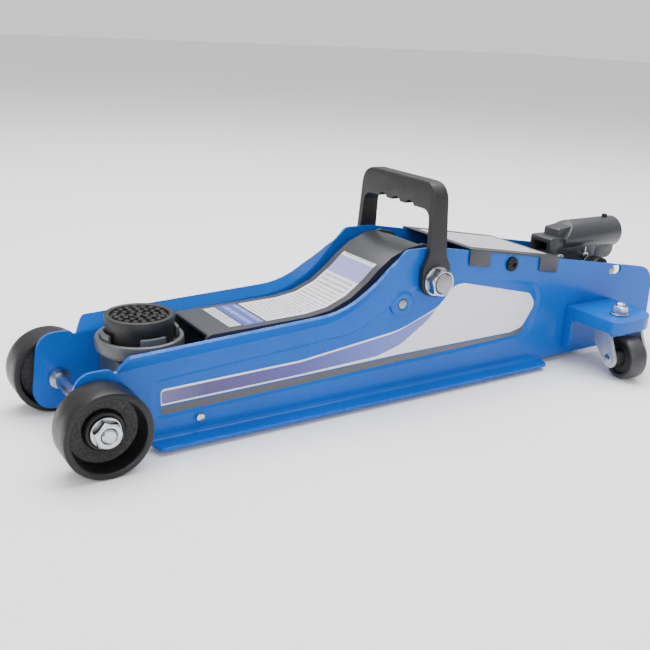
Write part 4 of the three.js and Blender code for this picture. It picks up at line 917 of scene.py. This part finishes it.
for radius, count in BLOCK_RINGS:
    for k in range(count):
        a = 2 * math.pi * (k + 0.5 * (radius == STAGGERED)) / count
        wide = 1.9 if radius else 2.2
        spot = Vector((radius * math.cos(a), radius * math.sin(a), 0))
        along, aside = Vector((math.cos(a), math.sin(a), 0)), Vector((-math.sin(a), math.cos(a), 0))
        first = len(vertices)
        for z, share in ((PAD_TOP - 2.8, 1.0), (PAD_TOP - 0.9, 0.9), (PAD_TOP - 0.3, 0.62)):
            for s, t in ((-1, -1), (1, -1), (1, 1), (-1, 1)):
                spread = (along * s + aside * t) * wide * share
                vertices.append(centre + (spot + spread + Vector((0, 0, z))) * MM)
        for ring in (0, 4):
            for i in range(4):
                j = (i + 1) % 4
                faces.append((first + ring + i, first + ring + j, first + ring + 4 + j,
                              first + ring + 4 + i))
        faces.append(tuple(first + 8 + i for i in range(4)))
        faces.append(tuple(first + 3 - i for i in range(4)))
mesh_object("saddle_pad_blocks", vertices, faces, black_rubber, "saddle", 30)


# ---------------------------------------------------------------- links and hydraulic unit
# Flat bars keep the saddle level. The ram pushes the roller, two wire springs pull it back,
# and the black unit between the plates carries the pump, the filler and the release valve.
for hand in ("left", "right"):
    refined(f"link_bar_{hand}", plain_steel, width=0.5)
    refined(f"link_anchor_pin_{hand}", plain_steel, width=0.4)
    refined(f"trunnion_pin_{hand}", plain_steel, width=0.5)
for name, material in (("ram", bright_zinc), ("spring_crossbar", plain_steel),
        ("ram_cylinder", plain_steel), ("filler_plug", bright_zinc),
        ("release_valve", plain_steel), ("pump_plunger", bright_zinc)):
    refined(name, material, width=0.5, segments=3)
SPRING_WIRE, SPRING_TURNS, TURN_STEPS = 0.8, 22, 14
for hand in ("left", "right"):
    low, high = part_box(f"return_spring_{hand}")
    wire, turns = SPRING_WIRE * MM, SPRING_TURNS
    middle_y, middle_z = (low.y + high.y) / 2, (low.z + high.z) / 2
    radius = (high.z - low.z) / 2 - wire
    curve = bpy.data.curves.new(f"spring_wire_{hand}", "CURVE")
    curve.dimensions, curve.bevel_depth, curve.bevel_resolution = "3D", wire, 2
    spline = curve.splines.new("POLY")
    steps = turns * TURN_STEPS
    spline.points.add(steps)
    for i in range(steps + 1):
        a, t = 2 * math.pi * turns * i / steps, i / steps
        x = low.x + wire + t * (high.x - low.x - 2 * wire)
        spline.points[i].co = (x, middle_y + radius * math.cos(a),
                               middle_z + radius * math.sin(a), 1)
    curve.use_fill_caps = True
    curve.materials.append(bright_zinc)
    spring = bpy.data.objects.new(f"return_spring_{hand}_wire", curve)
    bpy.context.scene.collection.objects.link(spring)
    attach(spring, "ram")
    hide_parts(f"return_spring_{hand}")


# ---------------------------------------------------------------- handle socket
# A pressed grey channel welded to a round tube that takes the long handle. One zinc pin holds
# it to the unit, and a second pin with a cotter drives the pump.
refined("handle_socket", grey_enamel, width=1.0, segments=3, angle=30)
for name in ("socket_pivot_pin", "plunger_pin", "plunger_cotter"):
    refined(name, bright_zinc, width=0.5, segments=3)


# ---------------------------------------------------------------- carry handle
# Moulded black plastic: round eyes on the pivot shaft, tapered legs and a grip with three
# finger notches. A flanged zinc nut on each end of the shaft keeps it on.
black_plastic = coat("black_plastic", linear(27, 27, 29), 0.46, depth=0.15, size=50,
    grain_size=1400, grain_height=0.4, wear_and_highlight=linear(96, 96, 98), wear_and_highlight_amount=0.35)
refined("carry_handle", black_plastic, width=1.8, segments=4, angle=30)
PIVOT_X, PIVOT_Z = 275, 96.6
low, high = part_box("pivot_nut_left")
nut_from = -high.y / MM
for side, hand in SIDES:
    centre, axis = point(PIVOT_X, 0, PIVOT_Z), (0, side, 0)
    lathe(f"pivot_flange_{hand}", [(8.3, nut_from), (11.4, nut_from), (12, nut_from + 0.5),
        (11.8, nut_from + 1.2), (9.6, nut_from + 1.7), (8.3, nut_from + 1.7)], centre, axis,
        bright_zinc, "frame")
    nut = hex_nut(f"pivot_nut_{hand}_finished", 20, 8.3, nut_from + 1.6, nut_from + 9.4,
        centre, axis, bright_zinc, "frame", 1.0)
    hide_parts(f"pivot_nut_{hand}")
